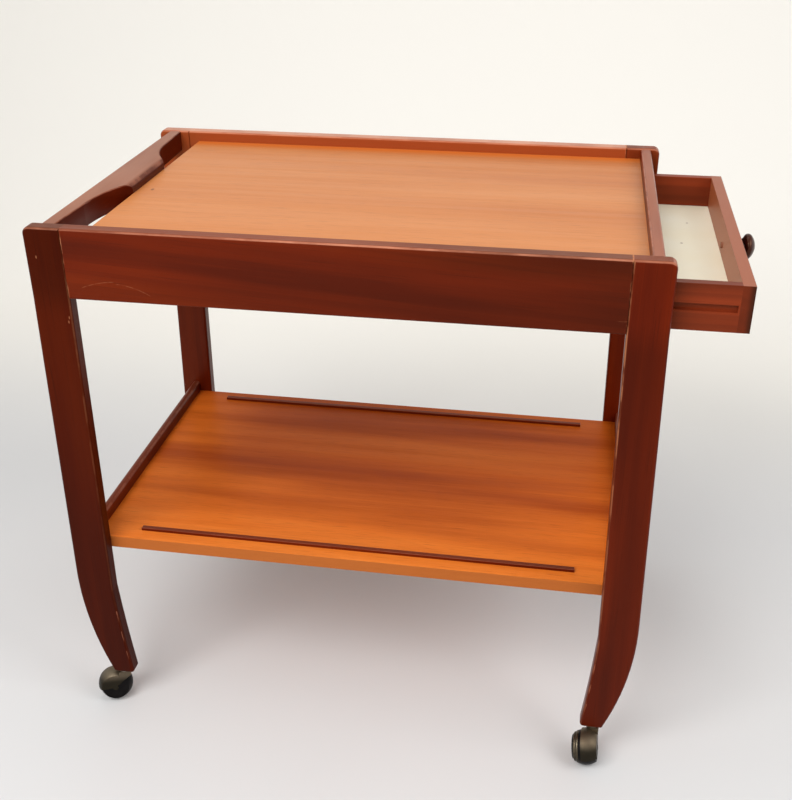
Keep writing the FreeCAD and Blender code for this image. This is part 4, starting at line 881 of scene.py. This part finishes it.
def sweep_material():
    made = Finish("pale_sweep")
    behind, height = made.axes()[1:]
    away = made.calc("ADD", behind, height)
    cloud = made.noise(made.place, scale=1.5, detail=2.0)
    floor = made.ramp(cloud, (0.3, FLOOR_LOW), (0.7, FLOOR_HIGH))
    made.feed(made.shader, "Base Color", made.blend(made.fade(away, 0.3, 1.2), floor, WALL))
    made.shader.inputs["Roughness"].default_value = 0.8
    made.shader.inputs["Specular IOR Level"].default_value = 0.1
    made.feed(made.shader, "Emission Color", GLOW_COLOUR)
    glow = made.fade(away, 0.32, 1.35, start=FLOOR_GLOW, end=WALL_GLOW)
    made.feed(made.shader, "Emission Strength", made.product(made.seen_directly(), glow))
    return made.material


backdrop = bpy.data.objects.new("backdrop", sweep_mesh())
backdrop.data.materials.append(sweep_material())
bpy.context.scene.collection.objects.link(backdrop)
print("backdrop", len(backdrop.data.polygons), "faces")

# %% [markdown]
# ## Lamps
#
# One large lamp hangs above and a little behind, as a ceiling light would, so that level surfaces
# are brighter than upright ones and rounded edges catch a thin line. A larger one lights the
# trolley from high in front, and one at the side reaches into the open drawer. Small lamps would
# draw hard shadows; large ones give the soft, even light in which wood shows its own colour.

# %% Lamps
LAMPS = {
    "ceiling_lamp": ((-0.4, 0.3, 2.6), (0, 0, 0.4), (1.5, 0.9), 8, (1.0, 0.97, 0.93)),
    "high_front_lamp": ((-0.8, -1.7, 2.1), (0, 0, 0.5), (1.6, 1.2), 48, (1.0, 0.98, 0.95)),
    "side_lamp": ((1.7, -0.7, 1.8), (0.3, 0, 0.6), (1.3, 1.3), 22, (1.0, 0.98, 0.96)),
}


def soft_lamp(name, place, target, size, watts, colour):
    light = bpy.data.lights.new(name, "AREA")
    light.shape = "RECTANGLE"
    light.size, light.size_y = size
    light.energy = watts
    light.color = colour
    lamp = bpy.data.objects.new(name, light)
    lamp.location = place
    lamp.rotation_euler = (Vector(target) - Vector(place)).to_track_quat("-Z", "Y").to_euler()
    bpy.context.scene.collection.objects.link(lamp)


for name, settings in LAMPS.items():
    soft_lamp(name, *settings)
print("lamps:", list(LAMPS))

# %% [markdown]
# ## The sky
#
# The room's white walls fill the shadows with weak light from all sides. A world of one white
# does the same. It is weaker for the light that falls on the trolley than for what the camera and
# the varnish see of it, so that the surroundings look white without washing the colours out.

# %% Sky
SKY_LIGHT, SKY_SEEN = 0.45, 0.95

world = bpy.data.worlds.new("studio")
world.use_nodes = True
sky = Graph(world.node_tree)
background = sky.tree.nodes["Background"]
sky.feed(background, "Color", (1, 1, 1, 1))
strength = sky.fade(sky.seen_directly(), 0.0, 1.0, start=SKY_LIGHT, end=SKY_SEEN)
sky.feed(background, "Strength", strength)
bpy.context.scene.world = world
bpy.context.scene.view_settings.view_transform = "Standard"
print("sky strength", SKY_LIGHT, "on the pieces,", SKY_SEEN, "as seen")

# %% [markdown]
# ## The camera
#
# A person's view: standing height, a step and a half back, a little to the right of the middle
# and looking down on the top. The angles could be set by hand, but building the camera's own
# three directions from its turn, tilt and roll keeps them exact.

# %% Camera
TURN, TILT, ROLL = (math.radians(angle) for angle in (9.82, 28.22, -0.34))
EYE = Vector((0.21115, -1.3674, 1.160))
FOCAL_PIXELS, FRAME_PIXELS, SENSOR = 1078.2, 800, 36.0

back = Vector((math.sin(TURN) * math.cos(TILT), -math.cos(TURN) * math.cos(TILT), math.sin(TILT)))
right = Vector((math.cos(TURN), math.sin(TURN), 0))
up = back.cross(right)
rolled_right = math.cos(ROLL) * right + math.sin(ROLL) * up
rolled_up = math.cos(ROLL) * up - math.sin(ROLL) * right
camera = bpy.data.objects.new("camera", bpy.data.cameras.new("camera"))
camera.data.sensor_width = SENSOR
camera.data.lens = SENSOR * FOCAL_PIXELS / FRAME_PIXELS
turned = Matrix((rolled_right, rolled_up, back)).transposed().to_4x4()
camera.matrix_world = Matrix.Translation(EYE) @ turned
bpy.context.scene.collection.objects.link(camera)
bpy.context.scene.camera = camera
print(f"lens {camera.data.lens:.2f} mm")
